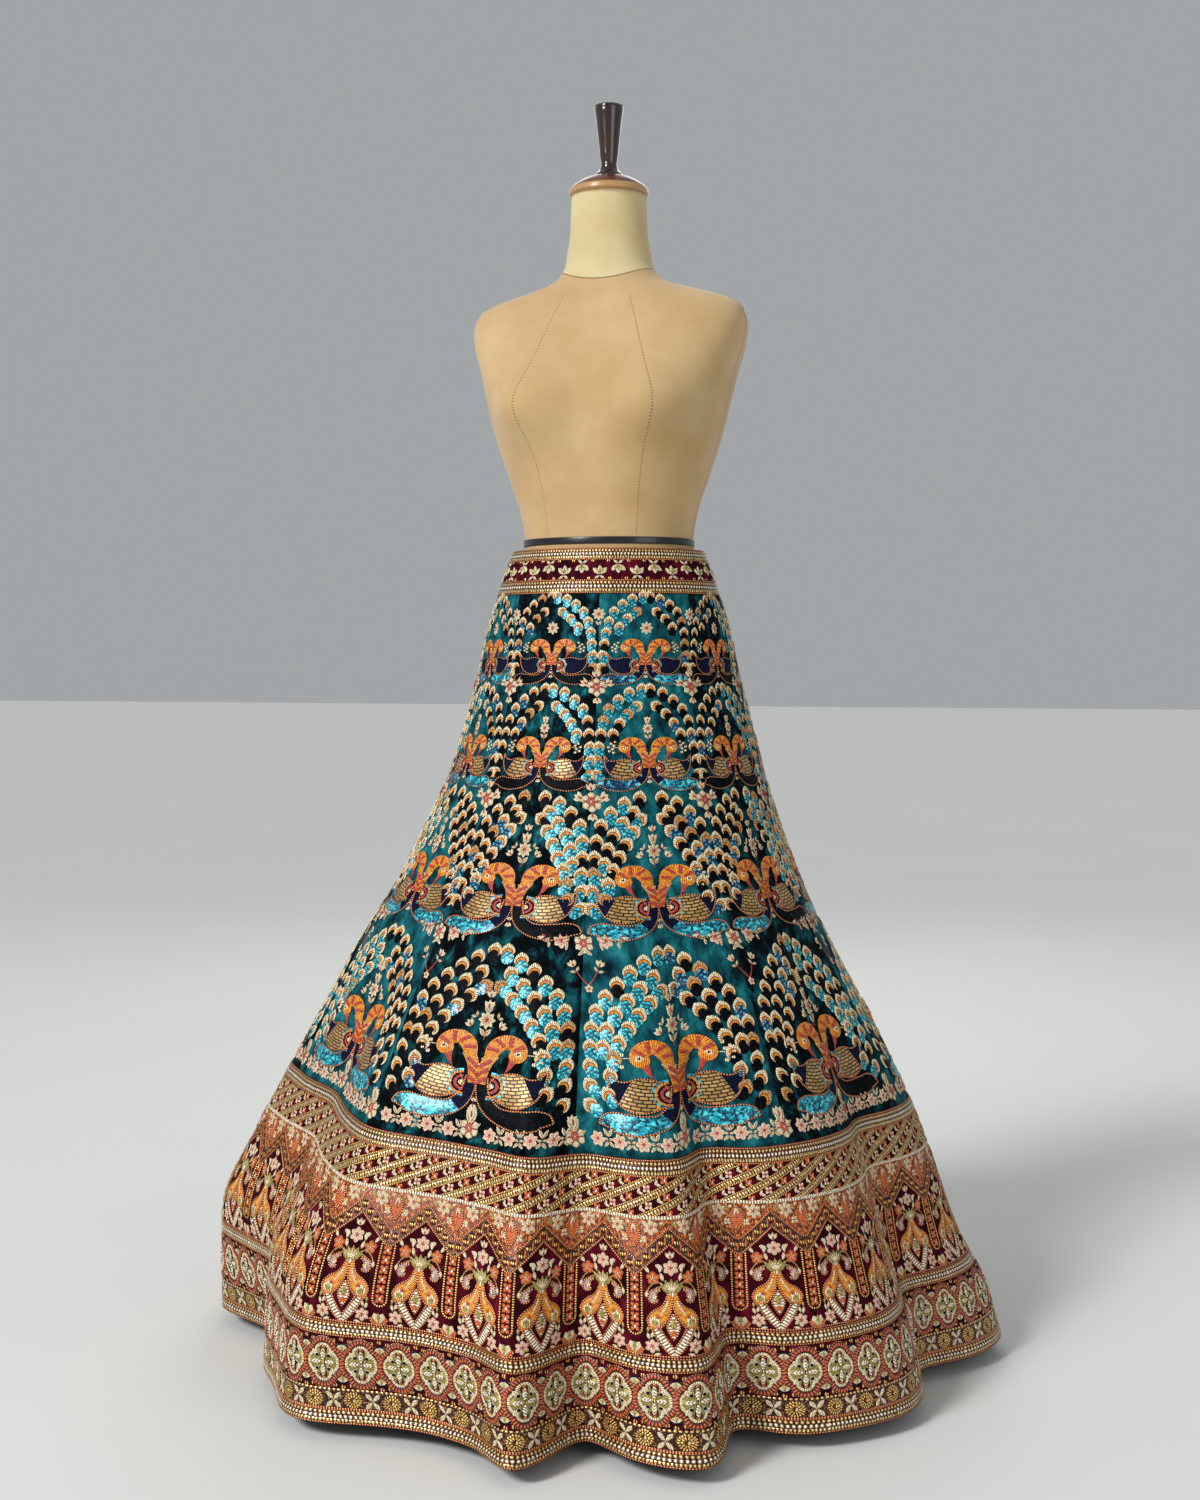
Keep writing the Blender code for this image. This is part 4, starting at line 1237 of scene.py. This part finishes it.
def seam_motif():
    """The flowers that lie over a kali's left seam, and the garland along its foot."""
    made = []
    half = lambda fall: kali_width(fall) / 2
    for height, size, kind in ((0.951, 1.25, "flower"), (0.8576, 1.45, "rose"), (0.716, 1.6, "rose")):
        fall = float(fall_of(height))
        x, y = -half(fall), KALI_TOP_FALL - fall
        if kind == "flower":
            made += placed(small_flower(8, 7.0) + placed(leaf_pair(6, 2.6, 30), 0, -12), x, y, 0.0, size)
        else:
            made += placed(leaf_pair(9, 3.8, 58) + leaf_pair(11, 4.0, 78), x, y, 0.0, size)
            made += placed(placed(bud(6.5), 0, -9, 180.0) + placed(bud(6.5), 0, 9), x, y, 0.0, size)
            made += placed(bud(7.0), x + np.array((-12.0, 12.0)), y + 4.0, (60.0, -60.0), size)
            made += placed(rose(8.4), x, y, 0.0, size)
    # garland between the third and the fourth row
    fall = float(fall_of(0.552))
    x, y = -half(fall), KALI_TOP_FALL - fall
    for side in (-1.0, 1.0):
        for spread, near, low, lean in ((50, 18.0, (3.0, 7.0), -60.0), (40, 20.0, (0.0, 3.0), -125.0)):
            beside = x + side * np.array((near, near + 21))
            made += placed(leaf_pair(9.0, 3.8, spread), beside, y + np.array(low), side * lean)
        made += placed(small_flower(6, 9.8, "pink_silk", "red_silk"), x + side * 27.0, y + 3.0)
        made += placed(bud(10.5), x + side * 45, y + 8, side * -60.0)
    made += placed(leaf_pair(11, 4.4, 52), x, y - 8, 180.0) + placed(leaf_pair(11, 4.4, 66), x, y + 4)
    made += placed(rose(12.2), x, y)
    sprig_y = y - 34
    made += placed(bud(9.5), x + np.array((-15.0, 15.0)), sprig_y + 5, (24.0, -24.0))
    made += placed(leaf_pair(8.0, 3.4, 60), x + np.array((-13.0, 13.0)), sprig_y - 1, (30.0, -30.0))
    for side in (-1.0, 1.0):
        stem = curve(((0, -18), (side * 6, -11), (side * 13, 0)), 8)
        made += placed([(band_along(stem, 0.7, 0.4), "red_silk")], x, sprig_y)
    made += placed(small_flower(5, 5.4, "pink_silk", "red_silk"), x, sprig_y - 22)
    # garland along the foot, over the border's edge
    fall = float(fall_of(0.340))
    y = KALI_TOP_FALL - fall
    width = 2 * half(fall)
    swags = np.linspace(0, 1, 11)
    sag = lambda part: 5.5 - 5.5 * np.cos(2 * np.pi * (part - 0.5))
    inner = swags[(swags > 0.02) & (swags < 0.98) & (np.abs(swags - 0.5) > 0.05)]
    place_x = (inner - 0.5) * width
    place_y = y + 0.4 * sag(inner) - 2.0
    for leaves, rise, turn in (
        (leaf_pair(11.5, 4.4, 30), 3.0, 0.0), (leaf_pair(9.0, 4.0, 46), -2.0, 180.0),
        (leaf_pair(6.5, 3.0, 80), 0.0, 0.0),
    ):
        made += placed(leaves, place_x + width / 20, place_y + rise, turn)
    turns = rng.uniform(0, 60, len(place_x))
    made += placed(small_flower(6, 9.6, "pink_silk", "red_silk"), place_x, place_y, turns)
    for x in (-width / 2, 0.0):
        made += placed(leaf_pair(17.0, 6.0, 24), x, y + 8) + placed(leaf_pair(16, 5.6, 64), x, y + 3)
        made += placed(bud(10.5), x, y + 18)
        made += placed(rose(13.0), x, y + 3)
    return made


for gore in range(GORES):
    kali_work = sew(
        f"kali_{gore + 1:02d}_embroidery", kali_motif(gore) + seam_motif(),
        on_gore(gore, kali_width), KALI_TOP_FALL,
    )
    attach(kali_work, "root")


# ---- Embroidery on the border -------------------------------------------------------------
# The border is worked all over in gilt purl, beads and silk: a bead edging, slanting stripes,
# a row of pointed arches with vases between columns, a row of medallions and a lattice. Four
# arches and eight medallions go to a kali, and the pattern runs on across the seams.

BORDER_DRAWN = 300.0  # mm: the width at which one kali's length of border is drawn
ARCH_PITCH = BORDER_DRAWN / 4
BORDER_FALL = float(fall_of(BORDER_TOP))


def border_level(height):
    """Millimetres of cloth from the border's upper edge to a height, as a drawing's y."""
    return BORDER_FALL - float(fall_of(height))


def course(y, half_width, thread, crown=0.8, base=0.0, reach=BORDER_DRAWN / 2, count=61):
    """One straight course of thread or beads, level round the skirt."""
    path = np.stack((np.linspace(-reach, reach, count), np.full(count, y)), axis=-1)
    return [(band_along(path, half_width, crown, base), thread)]


def ground(top, bottom, thread, reach=BORDER_DRAWN / 2, count=61):
    """A filled ground between two levels."""
    across = np.linspace(-reach, reach, count)
    low = np.stack((across, np.full(count, bottom)), axis=-1)
    high = np.stack((across, np.full(count, top)), axis=-1)
    return [(between_edges(low, high, 0.15, 0.0, 4), thread)]


def bead_edging(top, bottom, reach=BORDER_DRAWN / 2, count=61):
    """A bead edging: cord, bugle beads, a row of pearls, twisted gilt, cord, on antique gilt."""
    deep = top - bottom
    made = ground(top, bottom, "antique_zari", reach, count)
    for part, half, thread, crown in (
        (0.05, 0.045, "copper_cord", 1.0), (0.23, 0.095, "bugle_bead", 1.5),
        (0.50, 0.115, "pearl_bead", 1.8), (0.77, 0.095, "twisted_zari", 1.4),
        (0.95, 0.045, "copper_cord", 1.0),
    ):
        made += course(top - part * deep, half * deep, thread, crown, 0.25, reach, count)
    return made


def floret(size=3.6, petal="orange_silk", heart="cream_silk"):
    """A four-petalled floret with a bead in the middle."""
    petals = placed([(leaf(size, size * 0.8, 0.7, 0.3, 1.3, count=4), petal)], 0, 0, (45, 135, 225, 315))
    return petals + [(spot(0, 0, size * 0.3, 0.8, 0.9, 3), heart)]


STRIPES, STRIPE_CLIMB = 7, 24.0  # to a kali, and degrees from level


def slanting_stripes(top, bottom):
    """Stripes climbing to the right: a bar of twisted gilt between cords, then a row of florets."""
    made = []
    pitch, run = BORDER_DRAWN / STRIPES, (top - bottom) / np.tan(np.radians(STRIPE_CLIMB))
    blade = [(leaf(7.6, 3.4, 0.6, 0.1, 0.9, count=4), "cream_silk")]
    for number in range(STRIPES):
        start = -BORDER_DRAWN / 2 + number * pitch
        along = np.linspace(0, 1, 13)
        for shift, half, thread, crown in (
            (0.0, 4.2, "antique_zari", 0.3), (0.0, 2.1, "twisted_zari", 1.6),
            (8.4, 0.9, "gold_cord", 0.9), (-8.4, 0.9, "gold_cord", 0.9),
        ):
            path = np.stack((start + shift + run * along, bottom + (top - bottom) * along), axis=-1)
            made.append((band_along(path, half, crown, 0.2), thread))
        middle = start + pitch / 2
        low = (middle + run * 0.08, bottom + (top - bottom) * 0.08)
        high = (middle + run * 0.93, bottom + (top - bottom) * 0.93)
        stops = np.linspace(0, 1, 9)
        x, y = low[0] + (high[0] - low[0]) * stops, low[1] + (high[1] - low[1]) * stops
        made += placed(blade, x[1::2], y[1::2] - 1, -20) + placed(blade, x[1::2], y[1::2] + 1, -110)
        made += placed(floret(5.4, "orange_silk", "white_silk"), x[::4], y[::4])
        made += placed(floret(5.2, "pink_silk", "red_silk"), x[2::4], y[2::4])
    return made


ARCH_HALF = 31.0
COLUMN_HALF = 7.4
ZIGZAG_DEEP, COINS = 17.5, 36  # the band over the arches, and its coins to a kali


def zigzag(spring, apex, shift, count=81):
    """The line over the arches: from spring up to apex and down again, four times, moved down."""
    across = np.linspace(-BORDER_DRAWN / 2, BORDER_DRAWN / 2, count)
    off = np.abs((across + BORDER_DRAWN / 2) % ARCH_PITCH - ARCH_PITCH / 2)
    rise = np.clip((ARCH_HALF + 4 - off) / (ARCH_HALF + 4), 0, 1)
    return np.stack((across, spring + (apex - spring) * rise - shift), axis=-1)


def teardrop(points, widths, crown, base, thread):
    """A drop from its tip to its round end: a path whose half width swells and closes."""
    path = curve(points, 14)
    half = np.interp(np.linspace(0, 1, 14), np.linspace(0, 1, len(widths)), widths)
    aside = side_of(path) * half[:, None]
    rim = np.concatenate((path - aside, (path + aside)[::-1]))
    return [
        (band_along(path, half, crown, base), thread),
        (band_along(rim, 0.95, 0.9, base + 0.5), "copper_cord"),
    ]


def mirrored(motif):
    """A motif with its mirror image beside it, across the y axis."""
    return motif + placed(motif, 0, 0, mirror=-1.0)


VASE_HIGH = 133.0


def vase_of_flowers():
    """What stands in an arch, VASE_HIGH mm on the middle line, from y = 0 at the arch's foot."""
    half = []
    half += teardrop(
        ((3.2, 75), (4.2, 65), (8.5, 55), (16.5, 46), (22, 38), (25, 32)),
        (1.6, 3.4, 4.8, 6.6, 8.8, 9.8, 8.6, 0.3), 1.3, 0.2, "saffron_silk",
    )
    half.append((band_along(curve(((4.8, 66), (8.5, 57), (13.5, 50)), 8), 1.1, 0.6, 1.5), "cream_silk"))
    half += [(spot(19.5, 41.5, 5.8, 0.8, 1.3, 5, 1.1), "cream_silk")]
    half += [(spot(20.0, 40.5, 3.4, 0.7, 2.0, 4, 1.15), "olive_zari")]
    half += [(spot(16.6, 46.5, 1.9, 0.7, 2.3, 3), "red_silk")]
    half += teardrop(
        ((13, 80), (18, 78), (22, 73), (20.5, 67), (16, 66)),
        (0.8, 2.4, 4.4, 5.2, 0.4), 0.9, 0.2, "grey_pink_silk",
    )
    half += [(spot(20, 70.5, 2.4, 0.7, 1.2, 4), "cream_silk")]
    for bends in (((7, 84), (16, 89), (24, 84), (28, 77)), ((7, 83), (14, 83), (19, 80), (21, 76))):
        half.append((band_along(curve(bends, 9), 0.8, 0.6, 0.2), "olive_zari"))
    half += placed([(leaf(9.0, 4.6, 0.8, 0.3, 1.1), "cream_silk")], (28.0, 20.5), (78.0, 77.0), (188, 165))
    half += placed(small_flower(5, 8.4, "orange_silk", "cream_silk"), 21.0, 93.5)
    blade = [(leaf(10.5, 4.6, 0.7, 0.3), "cream_silk")]
    half += placed(blade, (9.5, 13.0, 25.0), (90.0, 100.0, 99.0), (-14, 8, -34))
    half += placed([(leaf(10.0, 6.0, 0.7, 0.3), "cream_silk")], 9.0, 105.0, -62)
    chevron = (2.0, 2.8, 3.3, 3.5, 3.5, 3.5, 3.5, 3.5, 3.5, 3.4, 3.0, 1.6)
    half += [
        (band_along(curve(((19.5, 33), (13, 22), (0, 3)), 12), chevron, 1.2, 0.3), "white_silk"),
        (band_along(curve(((23.0, 31), (17, 19), (0, -1.5)), 12), 0.9, 0.8, 0.4), "copper_cord"),
        (band_along(curve(((15.5, 36), (9.5, 25), (0, 10)), 12), 0.9, 0.8, 1.0), "copper_cord"),
    ]
    half += placed(small_flower(6, 8.6, "pink_silk", "red_silk"), 23.5, 12.5)
    blade = [(leaf(9.0, 3.8, 0.7, 0.2), "cream_silk")]
    half += placed(blade, (27.0, 25.0, 14.0), (20.0, 22.0, 4.5), (-12, 22, -105))
    half += placed([(leaf(8.0, 3.4, 0.7, 0.2), "olive_zari")], (28.5, 16.0), (28.0, 7.0), (5, -60))
    made = mirrored(half)
    made += placed([(leaf(19, 7.5, 1.0, 0.5), "olive_zari")], 0, 74, (-44, 44, -22, 22, 0))
    made += placed([(leaf(13, 2.2, 0.5, 1.6), "cream_silk")], 0, 77, (-42, 42, -21, 21, 0))
    made += [(spot(0, 74.5, 2.6, 1.4, 1.2, 4), "white_silk")]
    made += placed(small_flower(6, 9.8, "pink_silk", "red_silk"), 0, 106) + placed(bud(9.5), 0, 117)
    made += teardrop(
        ((0, 51), (0, 44), (0, 36), (0, 28), (0, 21)),
        (0.4, 3.0, 5.6, 7.2, 5.8, 3.4, 0.3), 1.0, 0.3, "white_silk",
    )
    made += [(spot(0, 38.5, 3.6, 0.8, 1.3, 4, 1.5), "olive_zari")]
    made += [(spot(0, 28.5, 3.0, 0.9, 1.4, 4, 1.2), "orange_silk")]
    made += [(spot(0, 34.5, 1.2, 0.7, 2.1, 3), "red_silk")]
    return made


def column(height):
    """A column between arches: a corded outline with a round foot, and a chain of florets."""
    turn = np.radians(np.linspace(180, 360, 9))
    foot = np.stack((COLUMN_HALF * np.cos(turn), COLUMN_HALF + COLUMN_HALF * np.sin(turn)), axis=-1)
    sides = np.linspace(height, COLUMN_HALF + 4, 10)
    left = np.stack((np.full(10, -COLUMN_HALF), sides), axis=-1)
    right = np.stack((np.full(10, COLUMN_HALF), sides[::-1]), axis=-1)
    path = np.concatenate((left, foot, right))
    stops = np.arange(8.0, height, 10.2)
    bowl = curve(((-9.5, -13), (-5, -19.5), (0, -20.5), (5, -19.5), (9.5, -13)), 12)
    lotus = (
        placed([(leaf(11, 7.5, 0.9, 0.2, 1.1), "orange_silk")], 0, -19, (-52, 52))
        + placed([(leaf(13, 8.5, 1.0, 0.5, 1.1), "cream_silk")], 0, -19, (-22, 22))
        + placed([(leaf(11, 4.5, 0.8, 1.2, 1.1), "olive_zari")], 0, -18, 0)
        + [(band_along(bowl, 0.9, 0.8, 0.8), "copper_cord")]
    )
    return (
        [(band_along(path, 1.0, 1.0, 0.4), "gold_cord")]
        + placed(floret(5.8, "orange_silk", "white_silk"), 0, stops)
        + lotus
    )


def lobed_ring(wide, high, lobe, thread, half, crown, base, count=33):
    """A quatrefoil ring: radius 1 + lobe*|cos 2a| round an oval."""
    turn = np.linspace(0, 2 * np.pi, count)
    radius = 1 - lobe * (1 - np.abs(np.cos(2 * turn)) ** 0.7)
    path = np.stack((wide * radius * np.cos(turn), high * radius * np.sin(turn)), axis=-1)
    return [(band_along(path, half, crown, base), thread)]


def medallion():
    """A quatrefoil medallion, 38 by 46 mm: a white cross, two copper fans and two gilt ones."""
    fans = placed([(leaf(13.0, 7.0, 0.9, 0.2, 0.85), "copper_cord")], 0, (5.0, -5.0), (0, 180))
    fans += placed([(leaf(10.0, 10.0, 0.9, 0.2, 0.85), "olive_zari")], (3.5, -3.5), 0, (-90, 90))
    east, north = np.array((1, -1, -1, 1)), np.array((1, 1, -1, -1))
    leaves = placed(
        [(leaf(9.5, 4.4, 0.8, 0.9, 1.1), "cream_silk")], 3.2 * east, 3.8 * north, (-42, 42, 138, -138)
    )
    cross = placed([(leaf(12.5, 4.4, 1.2, 1.4, 1.3), "white_silk")], 0, 0, (0, 180))
    cross += placed([(leaf(10.0, 4.4, 1.2, 1.4, 1.3), "white_silk")], 0, 0, (90, 270))
    tips = placed([(spot(0, 0, 1.5, 0.7, 1.8, 3), "navy_silk")], 5.0 * east, 6.0 * north)
    return (
        [(spot(0, 0, 16.0, 0.25, 0.1, 7, 20.5 / 16.0), "olive_zari")] + fans
        + lobed_ring(12.4, 16.2, 0.24, "cream_silk", 1.2, 0.8, 0.9)
        + lobed_ring(16.4, 20.8, 0.16, "orange_purl", 3.2, 1.7, 0.5)
        + lobed_ring(18.9, 23.2, 0.14, "copper_cord", 0.7, 0.9, 0.3)
        + leaves + cross + tips + [(spot(0, 0, 1.8, 0.9, 2.0, 4), "gold_cord")]
    )


def leaf_cluster():
    """Cream leaves under a navy chevron with coin dots, hanging between two medallions."""
    chevron = curve(((-10, -7), (-5, -1), (0, 1.5), (5, -1), (10, -7)), 11)
    return (
        placed([(leaf(13, 6.4, 0.9, 0.3, 1.1), "cream_silk")], 0, 2, (136, 224, 180))
        + placed([(leaf(7, 2.6, 0.5, 1.1, 1.1), "olive_zari")], 0, 0, 180)
        + placed([(leaf(7, 4.0, 0.7, 0.2, 1.1), "cream_silk")], (-6, 6), (0, 0), (100, 260))
        + [(band_along(chevron, 1.0, 0.6, 0.9), "navy_silk")]
        + placed([(spot(0, 0, 2.5, 0.9, 0.3, 3), "gold_cord")], (-8, 8, -13, 13, 0), (4, 4, 0, 0, 6))
    )


def lattice_row(top, bottom):
    """Gilt rosettes, two rings round a bead, each followed by a cream cross."""
    middle, deep = (top + bottom) / 2, top - bottom
    places = (np.arange(16) + 0.5) * BORDER_DRAWN / 16 - BORDER_DRAWN / 2
    turn = np.linspace(0, 2 * np.pi, 11)
    rings = []
    for radius in (0.38, 0.22):
        path = np.stack((np.cos(turn), np.sin(turn)), axis=-1) * radius * deep
        rings.append((band_along(path, 0.07 * deep, 0.8, 0.5), "gold_cord"))
    rings.append((spot(0, 0, 0.12 * deep, 1.0, 0.7, 3), "bugle_bead"))
    arms = [(leaf(0.54 * deep, 0.24 * deep, 0.9, 0.4, 1.3, count=4), "cream_silk")]
    return (
        ground(top, bottom, "antique_zari")
        + placed(rings, places[::2], middle)
        + placed(placed(arms, 0, 0, (38, 142, 218, 322)), places[1::2], middle)
    )


def border_motif():
    """All the embroidery of one kali's length of border, from its upper edge to the hem."""
    edge_low = border_level(0.3065)
    rope, apex, spring = border_level(0.2665), border_level(0.2565), border_level(0.2265)
    foot, edging_low = border_level(0.1305), border_level(0.1155)
    row_low, lattice_low, hem = border_level(0.0585), border_level(0.0375), border_level(0.0205)
    made = slanting_stripes(edge_low, rope)
    made += bead_edging(-0.5, edge_low)
    high = zigzag(spring, apex, 0.0)
    line = np.stack((high[:, 0], np.full(len(high), rope)), axis=-1)
    made += [(between_edges(high, line, 0.2, 0.1, 5), "spandrel_silk")]
    columns = np.arange(4) * ARCH_PITCH - BORDER_DRAWN / 2
    arches = columns + ARCH_PITCH / 2
    beside = lambda *off: (columns[:, None] + off).ravel()
    made += placed(small_flower(6, 8.4, "cream_silk", "red_silk"), beside(-19.0, 19.0), rope - 10.5)
    made += placed(floret(4.4, "cream_silk", "gold_cord"), beside(-10.0, 10.0), rope - 23)
    made += placed(floret(3.4, "olive_zari", "cream_silk"), beside(-31.0, 31.0), rope - 6)
    lozenge = teardrop(
        ((0, 14), (0, 8), (0, 0), (0, -8), (0, -14)),
        (0.3, 3.5, 6.4, 7.4, 6.4, 3.5, 0.3), 0.9, 0.5, "orange_silk",
    )
    lozenge += [(leaf(13, 6.0, 0.8, 1.3, 1.0), "pink_silk"), (leaf(8, 2.6, 0.5, 2.0, 1.0), "red_silk")]
    made += placed(lozenge, columns, rope - 19)
    gilt_leaf, cream_leaf = leaf(7, 3.2, 0.6, 0.4), leaf(6, 3.0, 0.6, 0.4)
    made += placed([(gilt_leaf, "olive_zari")], beside(-7.5, 7.5, -26, 26), rope - 11, 60)
    made += placed([(cream_leaf, "cream_silk")], beside(-9.0, 9.0, -28, 28), rope - 7, -60)
    made += course(rope, 1.9, "white_silk", 1.2, 0.3)
    for shift in (0.0, ZIGZAG_DEEP):
        made += [(band_along(zigzag(spring, apex, shift), 1.1, 1.0, 0.4), "copper_cord")]
    made += [(between_edges(zigzag(spring, apex, ZIGZAG_DEEP), high, 0.1, 0.05, 4), "antique_zari")]
    band = zigzag(spring, apex, ZIGZAG_DEEP / 2, 161)
    run = run_of(band)
    coin = [(spot(0, 0, 4.4, 0.6, 0.3, 4), "copper_cord"), (spot(0, 0, 3.3, 1.0, 0.8, 4), "gold_cord")]
    made += placed(coin, *points_at((np.arange(COINS) + 0.5) * run[-1] / COINS, run, band))
    bar = [(band_along(np.array(((0, -4.2), (0, 4.2))), 0.8, 0.6, 0.5), "orange_silk")]
    made += placed(bar, *points_at(np.arange(COINS) * run[-1] / COINS, run, band))
    made += placed(vase_of_flowers(), arches, foot, 0.0, (apex - ZIGZAG_DEEP - foot) / VASE_HIGH * 0.99)
    made += placed(column(spring - 15 - (foot + 21)), columns, foot + 21)
    made += course(foot + 1.2, 0.9, "copper_cord", 0.8, 0.3)
    made += bead_edging(foot - 0.5, edging_low)
    places = (np.arange(8) + 0.5) * BORDER_DRAWN / 8 - BORDER_DRAWN / 2
    middle, deep = (edging_low + row_low) / 2, edging_low - row_low
    made += placed(leaf_cluster(), places - BORDER_DRAWN / 16, edging_low - 9)
    made += placed(leaf_cluster(), places - BORDER_DRAWN / 16, row_low + 9, 180.0)
    made += placed(medallion(), places, middle, 0.0, deep / 49)
    made += lattice_row(row_low - 1, lattice_low)
    made += course(row_low, 1.1, "bugle_bead", 1.1, 0.4) + course(lattice_low, 1.1, "copper_cord", 1.1, 0.4)
    made += bead_edging(lattice_low - 0.6, hem)
    return made


border_work = border_motif()
for gore in range(GORES):
    work = sew(
        f"border_{gore + 1:02d}_embroidery", border_work,
        on_gore(gore, lambda fall: BORDER_DRAWN), BORDER_FALL,
    )
    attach(work, "root")


# ---- Waistband embroidery -----------------------------------------------------------------
# The band is stiffened, faced and embroidered like the border: a bead edging along both
# edges, and on the maroon strip between them gilt sprigs, every second one upside down.

BAND_MIDDLE = (BAND_TOP + BAND_BOTTOM) / 2
band_lengths = np.linalg.norm(np.diff(skirt_point(band_turn, BAND_MIDDLE), axis=0), axis=-1)
band_run = np.concatenate(((0,), np.cumsum(band_lengths))) * 1000
BAND_HALF = band_run[-1] / 2


def sprig():
    """A three-lobed gilt sprig with a pair of cream strokes and a coin dot to either side."""
    return (
        placed([(leaf(8.5, 4.4, 0.9, 0.3, 1.1), "cream_silk")], 0, -3, (-46, 0, 46))
        + placed([(leaf(5, 1.6, 0.5, 1.1), "olive_zari")], 0, -2, (-46, 0, 46))
        + placed([(leaf(5.5, 2.4, 0.7, 0.2), "cream_silk")], 0, -4, (125, -125))
        + placed([(spot(0, 0, 1.7, 0.9, 0.3, 3), "gold_cord")], (-9, 9), (-6.5, -6.5))
    )


band_deep = float(fall_of(BAND_BOTTOM))
SPRIGS = 34
sprigs = (np.arange(SPRIGS) + 0.5) * band_run[-1] / SPRIGS - BAND_HALF
BAND_COLUMNS = 241
band_work = bead_edging(-0.4, -0.27 * band_deep, BAND_HALF - 0.5, BAND_COLUMNS)
band_work += placed(sprig(), sprigs[::2], -0.52 * band_deep, 0.0, 1.5)
band_work += placed(sprig(), sprigs[1::2], -0.445 * band_deep, 180.0, 1.5)
band_work += bead_edging(-0.70 * band_deep, -band_deep + 0.4, BAND_HALF - 0.5, BAND_COLUMNS)
band_embroidery = sew(
    "waistband_embroidery", band_work, lambda x, fall: np.interp(x + BAND_HALF, band_run, band_turn), 0.0
)
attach(band_embroidery, "root")
tab_steps = np.diff(skirt_point(tab_azimuth[0], BAND_MIDDLE), axis=0)
